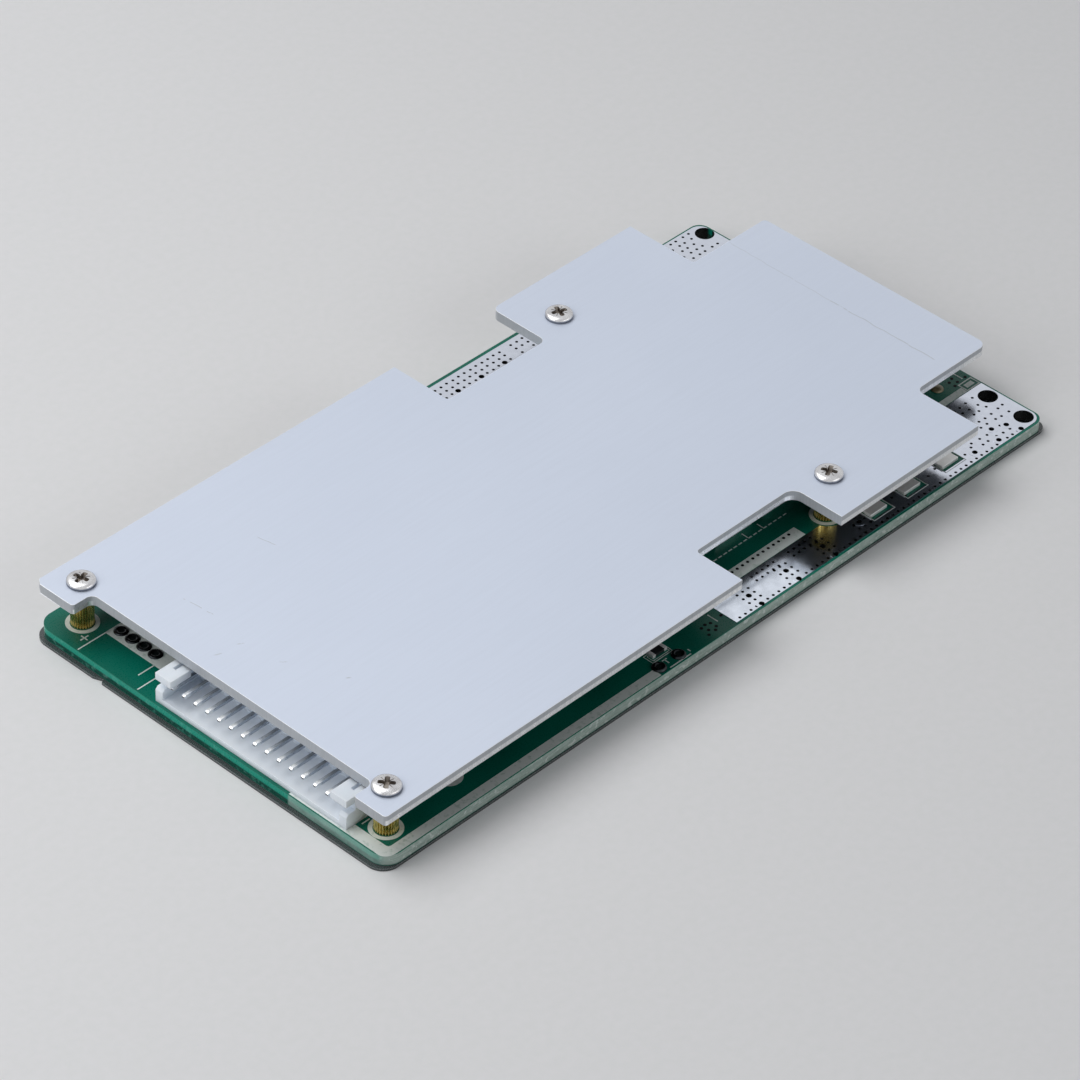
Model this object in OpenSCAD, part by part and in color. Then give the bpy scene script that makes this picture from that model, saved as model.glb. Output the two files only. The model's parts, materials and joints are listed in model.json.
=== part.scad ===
// Battery management board: a printed circuit with a bolted aluminium heat plate.
// Plan positions are taken from the board's front right corner: x runs along the board, away
// from the sense header, y runs across it, and z is up from the underside of the film.

/* [Board] */
// Length of the circuit board
board_len = 148.5; // [146:0.5:154]
// Width of the circuit board
board_wid = 74.3; // [73:0.1:78]
// Thickness of the circuit board
board_t = 2; // [1.6:0.2:2.4]
// Corner radius at the header end
near_corner_r = 3; // [2:0.5:4]
// Corner radius at the terminal end
far_corner_r = 2; // [1:0.5:3]
// Thickness of the clear insulating film under the board
film_t = 0.5; // [0.3:0.1:0.8]
// How far the film stands out past the header end and the terminal end
film_lip = 0.8; // [0.4:0.1:1.2]
// How far the film stands out along the two long sides
film_side_lip = 0.2; // [0:0.1:0.4]

/* [Heat plate] */
// Thickness of the aluminium heat plate
plate_t = 1.8; // [1.5:0.1:2.5]
// Free height between the board and the plate
standoff_h = 6; // [5.8:0.1:7]
// Distance from the board's corner edges to the two header end screws
screw_inset = 5; // [4.5:0.1:5.5]
// Distance of the two far screws from the side cut-outs
far_screw_gap = 6.3; // [5:0.1:8]
// Width of the side cut-outs that clear the tinned strips
cutout_len = 22.2; // [20:0.2:24]

/* [Screws and standoffs] */
// Thread size of the plate screws
screw_d = 2.5; // [2:0.5:2.5]
// Diameter of the pan heads
screw_head_d = 4.6; // [4:0.1:5]
// Outside diameter of the knurled standoffs
standoff_d = 3.7; // [3.6:0.1:4.4]

/* [Terminals] */
// Diameter of the three terminal holes
terminal_hole_d = 3.3; // [3:0.1:3.6]
// Diameter of the small vias
via_d = 0.5; // [0.3:0.05:0.6]
// Diameter of the large vias
big_via_d = 0.95; // [0.8:0.05:1]
// Thickness of the tinned copper that stands above the board
pad_t = 0.1; // [0.05:0.05:0.15]

/* [Sense header] */
// Number of pins in the sense header
header_ways = 15; // [13:2:15]
// Distance between neighbouring pins
header_pitch = 2.5; // [2.5, 2.54]
// Height of the header above the board
header_h = 5.5; // [5.3:0.1:5.6]
// Depth of the header housing from its mouth to its back
header_depth = 9.3; // [9:0.1:10]

/* [Power devices] */
// Number of switches in each of the two rows
switch_count = 6; // [5:1:6]
// Gap between neighbouring switches
switch_gap = 0.8; // [0.6:0.1:0.9]
// Height of a switch's moulded body
switch_h = 4.4; // [4.2:0.1:4.6]

/* [Hidden] */
$fn = 48;
eps = 0.01;
// Clearances, each between one pair of parts
screw_slack = 0.1;      // screw shank in the standoff's bore
plate_hole_slack = 0.4; // screw shank in the plate
film_slack = 0.5;       // film round holes and joints of the board
ring_slack = 0.05;      // pin tail in its hole

board_z = film_t;                      // underside of the board
top_z = board_z + board_t;             // top face of the board
plate_z = top_z + standoff_h;          // underside of the plate

// Plate outline
plate_front = 0.3;                     // front of the two screw tabs
plate_right = 0.05;                    // edge beside the power pad
near_trim = 0.5;                       // set-back of that edge's header half
plate_left = board_wid;                // opposite long edge
tab_step = 4;                          // how far the tabs stand forward
left_tab_w = 8.2;
left_tab_y = board_wid - left_tab_w;   // inner sides of the two tabs
right_tab_y = 7;
tab_r = 0.6;
far_corner_plate_r = 1.6;
cutout_x = 76.3;                       // start of both side cut-outs
cutout_end = cutout_x + cutout_len;
left_cutout_d = 11.8;
right_cutout_d = 10;
step_len = 17.4;                       // both end steps, from the terminal end
step_x = board_len - step_len;
left_step_d = 14;
right_step_d = 12.8;

left_screw_y = board_wid - screw_inset;
far_screw_x = cutout_end + far_screw_gap;
far_left_inset = 8.8;
far_right_inset = 8.2;
screw_spots = [[screw_inset, left_screw_y], [screw_inset, screw_inset],
               [far_screw_x, board_wid - far_left_inset], [far_screw_x, far_right_inset]];
bore_d = screw_d;
shank_d = screw_d - screw_slack;
plate_hole_d = screw_d + plate_hole_slack;
screw_head_h = 1;
screw_len = 5;
knurl_count = 28;
knurl_depth = 0.16;
standoff_shank_d = standoff_d - 0.7;

// Terminal holes and tinned copper
terminal_inset = 2.3;
terminal_x = board_len - terminal_inset;
battery_hole_ys = [9.9, 2.5];
battery_holes = [for (y = battery_hole_ys) [terminal_x, y]];
output_inset = [1.9, 2.9];
output_hole = [board_len, board_wid] - output_inset;
pad_edge = 0.35;                       // green margin between the copper and the board's edge
copper_margin = 1.2;                   // bare ring between the copper and a standoff
pad_reach = 0.9;                       // the battery pad starts this far before the cut-out
power_pad_x = cutout_x - pad_reach;
power_pad_top = 7;
corner_pad_len = 16;
corner_pad_x = board_len - corner_pad_len;
corner_pad_top = 12.9;
via_pitch = 1.27;
via_margin = 0.8;                      // the edge row's distance from the board's edge
hole_margin = 2.5;                     // vias keep this far from a terminal hole's axis
group_pitch = 8.55;
group_x = cutout_x + 5.15;
group_y = 2.05;
rear_reach = [2.3, 7.5];               // the rear pad runs on under the plate at both ends
rear_pad_x = cutout_x - rear_reach[0];
rear_pad_end = cutout_end + rear_reach[1];
rear_pad_w = 7;
rear_via_x = cutout_x + 4.75;
rear_via_pitch = 1.34;
rear_via_inset = 4.4;
output_pad_len = 18.5;
output_pad_w = 17;
output_pad_x = board_len - output_pad_len;
window_gaps = [4.2, 12.2, 21.4];       // green windows round the shunts, past the far screw
window_xs = [for (g = window_gaps) far_screw_x + g];
window_len = 4.9;
window_y = 2.1;
field_pitch = [1.62, 1.5];
field_start = [14.3, 2.2];
output_field_pitch = [1.5, 1.3];
output_field_start = [9.9, 1.1];
ring_hole_d = 1;
ring_pad_d = 2.4;
sense_ring_x = 7.7;
sense_ring_y = 63.7;
sense_rings = 4;
probe_rings = [[59.3, 1.5], [63.6, 1.5]];

// Header housing
header_x = 0.5;
header_y = 8.6;
header_span = header_pitch * (header_ways - 1);
header_len = header_span + 4.9;
first_pin_y = header_y + (header_len - header_span) / 2;
floor_t = 1;
back_t = 2;
side_t = 1.5;
shoulder_w = 3.3;
shoulder_z = 4.2;
shoulder_len = 4.2;
slit_z = 2.75;
slit_len = 1.9;
key_slot = [2.6, 1.1, 0.6, 0.9];       // its start and side, width and depth
pin_side = 0.64;
pin_z = 3.2;                           // pin axis above the board
pin_tip_in = 0.9;                      // tips lie this far inside the mouth
tail_x = header_x + header_depth + 1;
tail_hole_d = 1;
joint_tip_d = 1.2;                     // solder cone round a pin's tail
joint_foot_d = 1.9;

// Shunts, chips and small parts
shunt_len = 6.4;
shunt_wid = 3.8;
shunt_t = 0.6;
shunt_y = 2.7;
shunt_margin = 0.2;                    // from the window's near end
switch_inset = 14.6;                   // both rows' tab sides, from the long edges
switch_rows = [switch_inset, board_wid - switch_inset];
switch_body = [10, 8.8];
switch_pitch = switch_body[0] + switch_gap;
switch_end = output_pad_x - 2;         // both rows end this far before the output pad
switch_x = switch_end - (switch_count - 1) * switch_pitch - switch_body[0];
gap_pad_t = standoff_h - switch_h;
gap_pad_wid = 8;
gap_pad_inset = 2;                     // from a switch's tab side
resistor_xs = [15.5, 19.7];            // two balance resistors for each cell
resistor_size = [3.2, 1.6, 0.55];
capacitor_x = 24;
capacitor_size = [2, 1.2, 0.8];
link_at = [60.1, 3.5];
link_size = [3.1, 1.5, 0.6];
monitor_at = [switch_x - 27, 49];
monitor_body = [12.5, 6.1, 1.1];
controller_at = [switch_x - 20, 24];
controller_body = [6.5, 4.4, 1];
regulator_at = [switch_x - 22, 12];
regulator_body = [6.5, 3.5, 1.6];
driver_at = [[switch_x - 10, 17], [switch_x - 10, 50]];
driver_body = [4.9, 3.9, 1.4];
crystal_at = [switch_x - 18, 30.5];
crystal_size = [11, 4.5, 2.5];

pin_names = [for (i = [1:header_ways]) str("header_pin_", i)];
switch_names = [for (row = ["charge", "discharge"]) for (i = [1:switch_count])
    str(row, "_switch_", i)];
shunt_names = [for (i = [1:3]) str("shunt_resistor_", i)];

// Moves a part from plan positions to the part's own frame, whose origin is below the centre
module on_plan(z = 0) { translate([-board_len / 2, -board_wid / 2, z]) children(); }

// The waste at a square corner that is rounded with radius r, the corner at the origin
module corner_waste(r, turn) {
    rotate(turn) difference() {
        translate([-eps, -eps]) square(r + eps);
        translate([r, r]) circle(r);
    }
}

// Rectangle from p to q with its own radius at each corner, counted from the lower left
module rounded_rect(p, q, radii) {
    corners = [p, [q[0], p[1]], q, [p[0], q[1]]];
    difference() {
        translate(p) square(q - p);
        for (i = [0:3]) if (radii[i] > 0) translate(corners[i]) corner_waste(radii[i], 90 * i);
    }
}

module board_outline(grow_x = 0, grow_y = 0) {
    rounded_rect([-grow_x, -grow_y], [board_len + grow_x, board_wid + grow_y],
                 [near_corner_r, far_corner_r, far_corner_r, near_corner_r]);
}

// Deterministic scatter, for vias that were placed by hand
function scatter(i, span) = span * sin(i * 137.5);

// Via positions: an edge row, groups round the large vias, and a field at the corner
edge_vias = [for (x = [power_pad_x + 1.2:via_pitch:board_len - terminal_inset - 3.5])
    [x, via_margin]];
group_vias = [for (g = [0:1:3]) for (i = [-1:1]) for (j = [0:2]) if (i != 0 || j != 1)
    [group_x + g * group_pitch + i * via_pitch, group_y + j * via_pitch]];
inner_vias = [for (g = [0:1:1]) for (i = [0:4]) for (j = [0:1])
    [group_x + 3.6 + g * group_pitch + i * via_pitch, group_y + 2.85 + j * 1.15]];
between_vias = [for (i = [0:7])
    [far_screw_x + 2.2 + 2.1 * (i % 2) + floor(i / 2) * 8.3, group_y + 0.65 + (i % 3) * 0.5]];
corner_field = [for (i = [0:7]) for (j = [0:6])
    [board_len - field_start[0] + (i + 0.5 * (j % 2)) * field_pitch[0] + scatter(i + 7 * j, 0.2),
     field_start[1] + j * field_pitch[1] + scatter(3 * i + j, 0.2)]];
corner_bigs = [for (d = [[8.5, 4], [5.9, 3.1], [9.8, 1.4], [5, 0.8]]) [board_len - d[0], d[1]]];
corner_vias = [for (p = corner_field)
    if (p[0] < terminal_x + 1 && p[1] < corner_pad_top - via_margin
        && (p[0] > corner_pad_x + 5.5 || p[1] < power_pad_top)
        && min([for (h = battery_holes) norm(p - h)]) > hole_margin
        && min([for (b = corner_bigs) norm(p - b)]) > big_via_d) p];
rear_vias = [for (i = [0:17]) for (j = [0:2]) if (i != 14 && (j > 0 || i % 4 != 0))
    [rear_via_x + i * rear_via_pitch,
     board_wid - rear_via_inset + j * via_pitch + scatter(i + j, 0.06)]];
output_field = [for (i = [0:5]) for (j = [0:5])
    [board_len - output_field_start[0] + (i + 0.5 * (j % 2)) * output_field_pitch[0]
         + scatter(i + 5 * j, 0.15),
     board_wid - output_field_start[1] - j * output_field_pitch[1]]];
output_vias = [for (p = output_field)
    if (norm(p - output_hole) > hole_margin && p[0] < board_len - via_margin) p];
small_vias = concat(edge_vias, group_vias, inner_vias, between_vias, corner_vias, rear_vias,
                    output_vias);
big_vias = concat(
    [for (g = [0:1:3]) [group_x + g * group_pitch, group_y + via_pitch]],
    [for (i = [0:3]) [rear_via_x + i * 4 * rear_via_pitch, board_wid - rear_via_inset]],
    [for (g = [0:1:2]) [group_x + g * group_pitch, via_margin - 0.1]],
    [[window_xs[2] + 7.3, 2]], corner_bigs);

module via_cuts(h) {
    for (p = small_vias) translate(p) cylinder(d = via_d, h = h, $fn = 16);
    for (p = big_vias) translate(p) cylinder(d = big_via_d, h = h, $fn = 24);
}

module terminal_cuts(d, h) {
    for (p = concat(battery_holes, [output_hole])) translate(p) cylinder(d = d, h = h);
}

module pin_tail_spots() {
    for (i = [0:header_ways - 1]) translate([tail_x, first_pin_y + i * header_pitch]) children();
}

module ring_spots() {
    for (i = [0:sense_rings - 1]) translate([sense_ring_x, sense_ring_y - i * header_pitch]) children();
}

module probe_spots() { for (p = probe_rings) translate(p) children(); }

module insulating_film() {
    joint_window = tail_hole_d + 2 * film_slack;
    nick = [0.7, 2.6];                   // depth and length of the nick in the front rim
    nick_y = 58.8;
    color("Lavender", 0.4) on_plan() difference() {
        linear_extrude(film_t) board_outline(film_lip, film_side_lip);
        translate([0, 0, -1]) {
            terminal_cuts(terminal_hole_d + film_slack, film_t + 2);
            translate([tail_x - joint_window / 2, first_pin_y - joint_window / 2, 0])
                cube([joint_window, header_span + joint_window, film_t + 2]);
            translate([-film_lip, nick_y, 0]) linear_extrude(film_t + 2)
                polygon([[-1, -0.3], [nick[0], 0.3], [-0.2, nick[1]], [-1, nick[1]]]);
        }
    }
}

module circuit_board() {
    color("SeaGreen") on_plan(board_z) difference() {
        linear_extrude(board_t) board_outline();
        translate([0, 0, -1]) {
            terminal_cuts(terminal_hole_d, board_t + 2);
            via_cuts(board_t + 2);
            pin_tail_spots() cylinder(d = tail_hole_d, h = board_t + 2);
            ring_spots() cylinder(d = ring_hole_d, h = board_t + 2);
            probe_spots() cylinder(d = ring_hole_d, h = board_t + 2);
            for (p = screw_spots) translate(p) cylinder(d = standoff_shank_d, h = board_t + 2);
        }
    }
}

// The copper keeps clear of the two far standoffs
module standoff_keepout() {
    for (p = [screw_spots[2], screw_spots[3]]) translate(p) circle(d = standoff_d + 2 * copper_margin);
}

module battery_pad_outline() {
    difference() {
        union() {
            rounded_rect([power_pad_x, pad_edge], [board_len - pad_edge, power_pad_top],
                         [0, far_corner_r, 0, 0]);
            translate([corner_pad_x, power_pad_top - 1])
                square([board_len - pad_edge - corner_pad_x, corner_pad_top - power_pad_top + 1]);
        }
        for (x = window_xs) translate([x, window_y]) square([window_len, power_pad_top]);
        standoff_keepout();
    }
}

module tinned_copper() {
    on_plan(top_z) difference() {
        linear_extrude(pad_t) children();
        translate([0, 0, -1]) {
            terminal_cuts(terminal_hole_d, pad_t + 2);
            via_cuts(pad_t + 2);
        }
    }
}

module battery_pad() { color("Gainsboro") tinned_copper() battery_pad_outline(); }

module output_pad() {
    color("Gainsboro") tinned_copper()
        rounded_rect([output_pad_x, board_wid - output_pad_w],
                     [board_len - pad_edge, board_wid - pad_edge], [1, 1, far_corner_r, 1]);
}

module rear_pad() {
    color("Gainsboro") tinned_copper() difference() {
        rounded_rect([rear_pad_x, board_wid - pad_edge - rear_pad_w],
                     [rear_pad_end, board_wid - 2 * pad_edge], [1, 1, 0.3, 0.3]);
        standoff_keepout();
    }
}

module ring_pad() {
    difference() {
        cylinder(d = ring_pad_d, h = pad_t);
        translate([0, 0, -1]) cylinder(d = ring_hole_d, h = pad_t + 2);
    }
}

module sense_ring_pads() { color("DimGray") on_plan(top_z) ring_spots() ring_pad(); }

module probe_ring_pads() { color("DimGray") on_plan(top_z) probe_spots() ring_pad(); }

// The plate's outline, as a rectangle less its cut-outs; inner corners keep a milled radius
module plate_outline() {
    far = board_len;
    difference() {
        rounded_rect([plate_front, plate_right], [far, plate_left], [0, 0, 0, 0.3]);
        // recess between the two screw tabs, and the tabs' rounded corners
        rounded_rect([plate_front - 1, right_tab_y], [plate_front + tab_step, left_tab_y],
                     [0, 1.2, 1.2, 0]);
        translate([plate_front, right_tab_y]) corner_waste(tab_r, 270);
        translate([plate_front, left_tab_y]) corner_waste(tab_r, 0);
        // the header half of the right edge is set back a little
        translate([-1, plate_right - 1]) square([cutout_x + 1, near_trim + 1]);
        translate([plate_front, plate_right + near_trim]) corner_waste(tab_r, 0);
        // cut-out over the rear strip
        rounded_rect([cutout_x, plate_left - left_cutout_d],
                     [cutout_end, plate_left + 1], [0.6, 1.2, 0, 0]);
        // this corner of the cut-out was filed round
        translate([cutout_end, plate_left]) corner_waste(1.4, 270);
        // cut-out over the power pad
        rounded_rect([cutout_x, plate_right - 1],
                     [cutout_end, plate_right + right_cutout_d], [0, 0, 2, 0.8]);
        // steps that bare the terminals
        rounded_rect([step_x, plate_left - left_step_d], [far + 1, plate_left + 1], [0.6, 0, 0, 0]);
        rounded_rect([step_x, plate_right - 1], [far + 1, plate_right + right_step_d], [0, 0, 0, 1.4]);
        translate([far, plate_right + right_step_d]) corner_waste(far_corner_plate_r, 90);
        translate([far, plate_left - left_step_d]) corner_waste(0.8, 180);
    }
}

module heat_plate() {
    color("WhiteSmoke") on_plan(plate_z) difference() {
        linear_extrude(plate_t) plate_outline();
        for (p = screw_spots) translate([p[0], p[1], -1]) cylinder(d = plate_hole_d, h = plate_t + 2);
    }
}

// A knurled brass standoff, pressed into the board by its plain shank
module standoff() {
    shank_len = board_t;
    difference() {
        union() {
            cylinder(d = standoff_d, h = standoff_h);
            translate([0, 0, -shank_len]) cylinder(d = standoff_shank_d, h = shank_len + eps);
        }
        translate([0, 0, -shank_len - 1]) cylinder(d = bore_d, h = standoff_h + shank_len + 2);
        for (i = [0:knurl_count - 1]) rotate(i * 360 / knurl_count)
            translate([standoff_d / 2, 0, 0.4]) rotate(45)
                translate([-knurl_depth / 2, -knurl_depth / 2, 0])
                    cube([knurl_depth, knurl_depth, standoff_h - 0.8]);
    }
}

module standoffs() {
    color("DarkKhaki") on_plan(top_z) for (p = screw_spots) translate(p) standoff();
}

// A pan head screw with a cross recess, its shank modelled at the thread's outside diameter
module plate_screw() {
    edge_h = 0.45;
    head_r = screw_head_d / 2;
    recess = [0.62, 2.3, 0.8];
    difference() {
        union() {
            rotate_extrude() polygon([
                [0, 0], [head_r, 0], [head_r, edge_h],
                for (a = [10:10:90]) [head_r * cos(a), edge_h + (screw_head_h - edge_h) * sin(a)]]);
            translate([0, 0, -screw_len]) cylinder(d = shank_d, h = screw_len + eps);
        }
        for (a = [20, 110]) rotate(a) translate([0, 0, screw_head_h - recess[2] / 2 + eps])
            cube([recess[1], recess[0], recess[2]], center = true);
    }
}

module plate_screws() {
    color("Silver") on_plan(plate_z + plate_t) for (p = screw_spots) translate(p) plate_screw();
}

// One end of the housing: a low wall, a slit for the plug's rib, and a shoulder above it
module header_end() {
    difference() {
        union() {
            cube([header_depth, side_t, header_h]);
            translate([0, 0, shoulder_z]) cube([shoulder_len, shoulder_w, header_h - shoulder_z]);
        }
        translate([-1, -1, slit_z]) cube([slit_len + 1, side_t + 2, shoulder_z - slit_z]);
        // key slot in the shoulder's top, open at its back
        translate([key_slot[0], key_slot[1], header_h - key_slot[3]])
            cube([shoulder_len, key_slot[2], key_slot[3] + 1]);
        // the mouth's lower corner is cut away at a slant
        translate([0, 0, slit_z]) rotate([0, 45, 0]) translate([-0.35, -1, -0.35])
            cube([0.7, side_t + 2, 0.7]);
    }
}

module header_housing() {
    color("White") on_plan(top_z) translate([header_x, header_y, 0]) difference() {
        union() {
            cube([header_depth, header_len, floor_t]);
            translate([header_depth - back_t, 0, 0]) cube([back_t, header_len, header_h]);
            header_end();
            translate([0, header_len, 0]) mirror([0, 1, 0]) header_end();
        }
        for (i = [0:header_ways - 1])
            translate([0, first_pin_y - header_y + i * header_pitch, pin_z])
                cube([3 * header_depth, pin_side + ring_slack, pin_side + ring_slack], center = true);
    }
}

// A square pin that leaves the back wall and turns down through the board
module header_pin() {
    half = pin_side / 2;
    inner = header_x + pin_tip_in;
    foot = -board_t - 0.3;
    rotate([90, 0, 0]) translate([0, 0, -half]) linear_extrude(pin_side) difference() {
        polygon([[inner + 0.35, pin_z - half], [tail_x - half, pin_z - half], [tail_x - half, foot],
                 [tail_x + half, foot], [tail_x + half, pin_z + half], [inner + 0.35, pin_z + half],
                 [inner, pin_z + half / 2], [inner, pin_z - half / 2]]);
        translate([tail_x + half, pin_z + half]) corner_waste(0.5, 180);
    }
}

module header_pin_at(i) {
    color("Silver") on_plan(top_z) translate([0, first_pin_y + (header_ways - i) * header_pitch, 0])
        header_pin();
}

// Solder cones round the pin tails, on the underside of the board
module header_joints() {
    cone_h = film_t * 0.7;
    color("Silver") on_plan(board_z) pin_tail_spots() difference() {
        translate([0, 0, -cone_h]) cylinder(d1 = joint_tip_d, d2 = joint_foot_d, h = cone_h);
        cube([pin_side + ring_slack, pin_side + ring_slack, 4], center = true);
    }
}

// A surface-mount power switch: moulded body, heat tab and two gull-wing leads
module power_switch() {
    tab_len = 1.3;
    tab_h = 1.3;
    lead_w = 1.3;
    lead_reach = 4.6;
    color("DimGray") difference() {
        translate([0, tab_len, 0]) cube([switch_body[0], switch_body[1], switch_h]);
        // chamfer along the tab side
        translate([-1, tab_len - 0.5, switch_h]) rotate([-45, 0, 0])
            cube([switch_body[0] + 2, 0.7, 0.7]);
    }
    color("Silver") translate([0.8, 0, 0]) cube([switch_body[0] - 1.6, tab_len + 0.1, tab_h]);
    color("Silver") for (x = [1.2, switch_body[0] - 1.2 - lead_w])
        translate([x, tab_len + switch_body[1], 0]) rotate([90, 0, 90]) linear_extrude(lead_w)
            polygon([[-0.1, 2.2], [1.4, 2.2], [2.2, 0.5], [lead_reach, 0.5], [lead_reach, 0],
                     [1.8, 0], [1, 1.7], [-0.1, 1.7]]);
}

module charge_switch(i) {
    on_plan(top_z) translate([switch_x + (i - 1) * switch_pitch, switch_rows[0], 0]) power_switch();
}

module discharge_switch(i) {
    on_plan(top_z) translate([switch_x + (i - 1) * switch_pitch, switch_rows[1], 0])
        mirror([0, 1, 0]) power_switch();
}

module gap_pad(y) {
    row_len = (switch_count - 1) * switch_pitch + switch_body[0];
    color("SlateGray") on_plan(top_z + switch_h) translate([switch_x, y, 0])
        linear_extrude(gap_pad_t) rounded_rect([0, 0], [row_len, gap_pad_wid], [0.5, 0.5, 0.5, 0.5]);
}

module charge_gap_pad() { gap_pad(switch_rows[0] + gap_pad_inset); }

module discharge_gap_pad() { gap_pad(switch_rows[1] - gap_pad_inset - gap_pad_wid); }

// A metal shunt: a low bridge that stands on two wrapped end terminals
module shunt_resistor(i) {
    foot_len = 1.4;
    lift = 0.15;
    color("Silver") on_plan(top_z)
        translate([window_xs[i - 1] + shunt_margin, shunt_y, 0]) difference() {
            cube([shunt_wid, shunt_len, shunt_t]);
            translate([-1, foot_len, -1]) cube([shunt_wid + 2, shunt_len - 2 * foot_len, 1 + lift]);
        }
}

// A chip resistor or capacitor lying along x, its end caps standing a little proud
module chip(size) {
    cap = size[0] * 0.18;
    translate([cap * 0.9, 0.03, 0]) cube([size[0] - cap * 1.8, size[1] - 0.06, size[2] - 0.04]);
    for (x = [0, size[0] - cap]) translate([x, 0, 0]) cube([cap, size[1], size[2]]);
}

module link_resistor() { color("DimGray") on_plan(top_z) translate(link_at) chip(link_size); }

// A moulded chip with gull-wing leads on two sides
module leaded_chip(body, leads, pitch) {
    lift = 0.15;
    lead = [0.3, 0.6];
    color("DimGray") translate([0, 0, lift]) cube([body[0], body[1], body[2]]);
    color("Silver") for (i = [0:leads - 1]) for (m = [0, 1])
        translate([(body[0] - (leads - 1) * pitch) / 2 + i * pitch - lead[0] / 2, m * body[1], 0])
            mirror([0, 1 - m, 0]) rotate([90, 0, 90]) linear_extrude(lead[0])
                polygon([[-0.1, body[2] * 0.6], [0.4, body[2] * 0.6], [0.6, 0.15], [0.6 + lead[1], 0.15],
                         [0.6 + lead[1], 0], [0.45, 0], [0.3, body[2] * 0.45], [-0.1, body[2] * 0.45]]);
}

module monitor_chip() {
    on_plan(top_z) translate(monitor_at) rotate(90) leaded_chip(monitor_body, 22, 0.5);
}

module controller_chip() {
    on_plan(top_z) translate(controller_at) leaded_chip(controller_body, 10, 0.65);
}

module regulator() { on_plan(top_z) translate(regulator_at) leaded_chip(regulator_body, 3, 2.3); }

module driver_chips() {
    on_plan(top_z) for (p = driver_at) translate(p) rotate(90) leaded_chip(driver_body, 4, 1.27);
}

module crystal() {
    end_r = crystal_size[1] / 2 - 0.05;
    color("Silver") on_plan(top_z) translate(crystal_at) linear_extrude(crystal_size[2])
        rounded_rect([0, 0], [crystal_size[0], crystal_size[1]], [end_r, end_r, end_r, end_r]);
}

module balance_resistors() {
    color("DimGray") on_plan(top_z) for (i = [0:header_ways - 1]) for (x = resistor_xs)
        translate([x, first_pin_y + i * header_pitch - resistor_size[1] / 2, 0]) chip(resistor_size);
}

module filter_capacitors() {
    color("Tan") on_plan(top_z) for (i = [0:header_ways - 1])
        translate([capacitor_x, first_pin_y + i * header_pitch - capacitor_size[1] / 2, 0])
            chip(capacitor_size);
}

insulating_film();
circuit_board();
battery_pad();
output_pad();
rear_pad();
sense_ring_pads();
probe_ring_pads();
heat_plate();
standoffs();
plate_screws();
header_housing();
for (i = [1:header_ways]) header_pin_at(i);
header_joints();
for (i = [1:switch_count]) charge_switch(i);
for (i = [1:switch_count])
    discharge_switch(i);
charge_gap_pad();
discharge_gap_pad();
for (i = [1:3]) shunt_resistor(i);
link_resistor();
monitor_chip();
controller_chip();
regulator();
driver_chips();
crystal();
balance_resistors();
filter_capacitors();
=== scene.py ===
"""Battery management board: fine parts and finishes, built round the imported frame.

Sizes are in millimetres unless a name says otherwise. Plan positions run from the board's
front right corner: x along the board away from the sense header, y across it, and height is
counted from the board's top face.
"""

from __future__ import annotations

import json
import logging
import math
from collections.abc import Callable, Sequence
from dataclasses import dataclass, field
from enum import Enum
from typing import Any

import bmesh
import bpy
from mathutils import Matrix, Vector

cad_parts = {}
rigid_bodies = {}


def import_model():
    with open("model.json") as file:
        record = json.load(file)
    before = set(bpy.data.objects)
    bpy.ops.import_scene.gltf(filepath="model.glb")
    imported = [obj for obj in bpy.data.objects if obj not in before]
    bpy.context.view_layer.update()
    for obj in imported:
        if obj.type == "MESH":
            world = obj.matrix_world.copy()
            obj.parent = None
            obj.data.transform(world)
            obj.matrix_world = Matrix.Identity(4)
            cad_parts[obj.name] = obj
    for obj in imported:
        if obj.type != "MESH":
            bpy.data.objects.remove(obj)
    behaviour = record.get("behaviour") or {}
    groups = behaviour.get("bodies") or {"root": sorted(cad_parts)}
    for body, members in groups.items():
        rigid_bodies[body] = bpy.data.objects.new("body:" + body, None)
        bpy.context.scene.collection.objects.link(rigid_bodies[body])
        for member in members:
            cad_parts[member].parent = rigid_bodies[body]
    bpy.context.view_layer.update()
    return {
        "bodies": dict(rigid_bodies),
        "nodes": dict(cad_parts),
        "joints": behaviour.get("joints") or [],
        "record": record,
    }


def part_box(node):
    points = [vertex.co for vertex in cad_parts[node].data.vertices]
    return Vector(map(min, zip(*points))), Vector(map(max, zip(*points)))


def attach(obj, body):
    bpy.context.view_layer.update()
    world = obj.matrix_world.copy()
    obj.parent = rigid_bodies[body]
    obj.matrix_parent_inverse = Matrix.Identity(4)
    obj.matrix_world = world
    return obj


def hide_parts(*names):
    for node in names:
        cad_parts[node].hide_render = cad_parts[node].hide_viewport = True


LOG = logging.getLogger("battery_board")
MM = 0.001
Colour = tuple[float, float, float]
Plane = tuple[float, float]
Point = tuple[float, float, float]
Piece = bpy.types.Object
Material = bpy.types.Material
Stroke = tuple[Plane, Plane]

SCREW_SPOTS: tuple[Plane, ...] = ((5, 69.3), (5, 5), (104.8, 65.5), (104.8, 8.2))
COPPER_T = 0.1


class Element(Enum):
    """What a selection in edit mode picks."""

    VERTEX = "VERT"
    EDGE = "EDGE"
    FACE = "FACE"


class Row(Enum):
    """The two rows of power switches, by what they switch."""

    CHARGE = "charge"
    DISCHARGE = "discharge"


# ---------------------------------------------------------------------------------------
# Modelling steps
# ---------------------------------------------------------------------------------------


def rest_hands() -> None:
    """Leaves edit mode and drops every selection."""
    if bpy.context.object is not None and bpy.context.object.mode != "OBJECT":
        bpy.ops.object.mode_set(mode="OBJECT")
    bpy.ops.object.select_all(action="DESELECT")


def take(piece: Piece) -> None:
    """Selects one piece and makes it active.

    Args:
        piece: The piece to work on.
    """
    rest_hands()
    piece.select_set(True)
    bpy.context.view_layer.objects.active = piece


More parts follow.
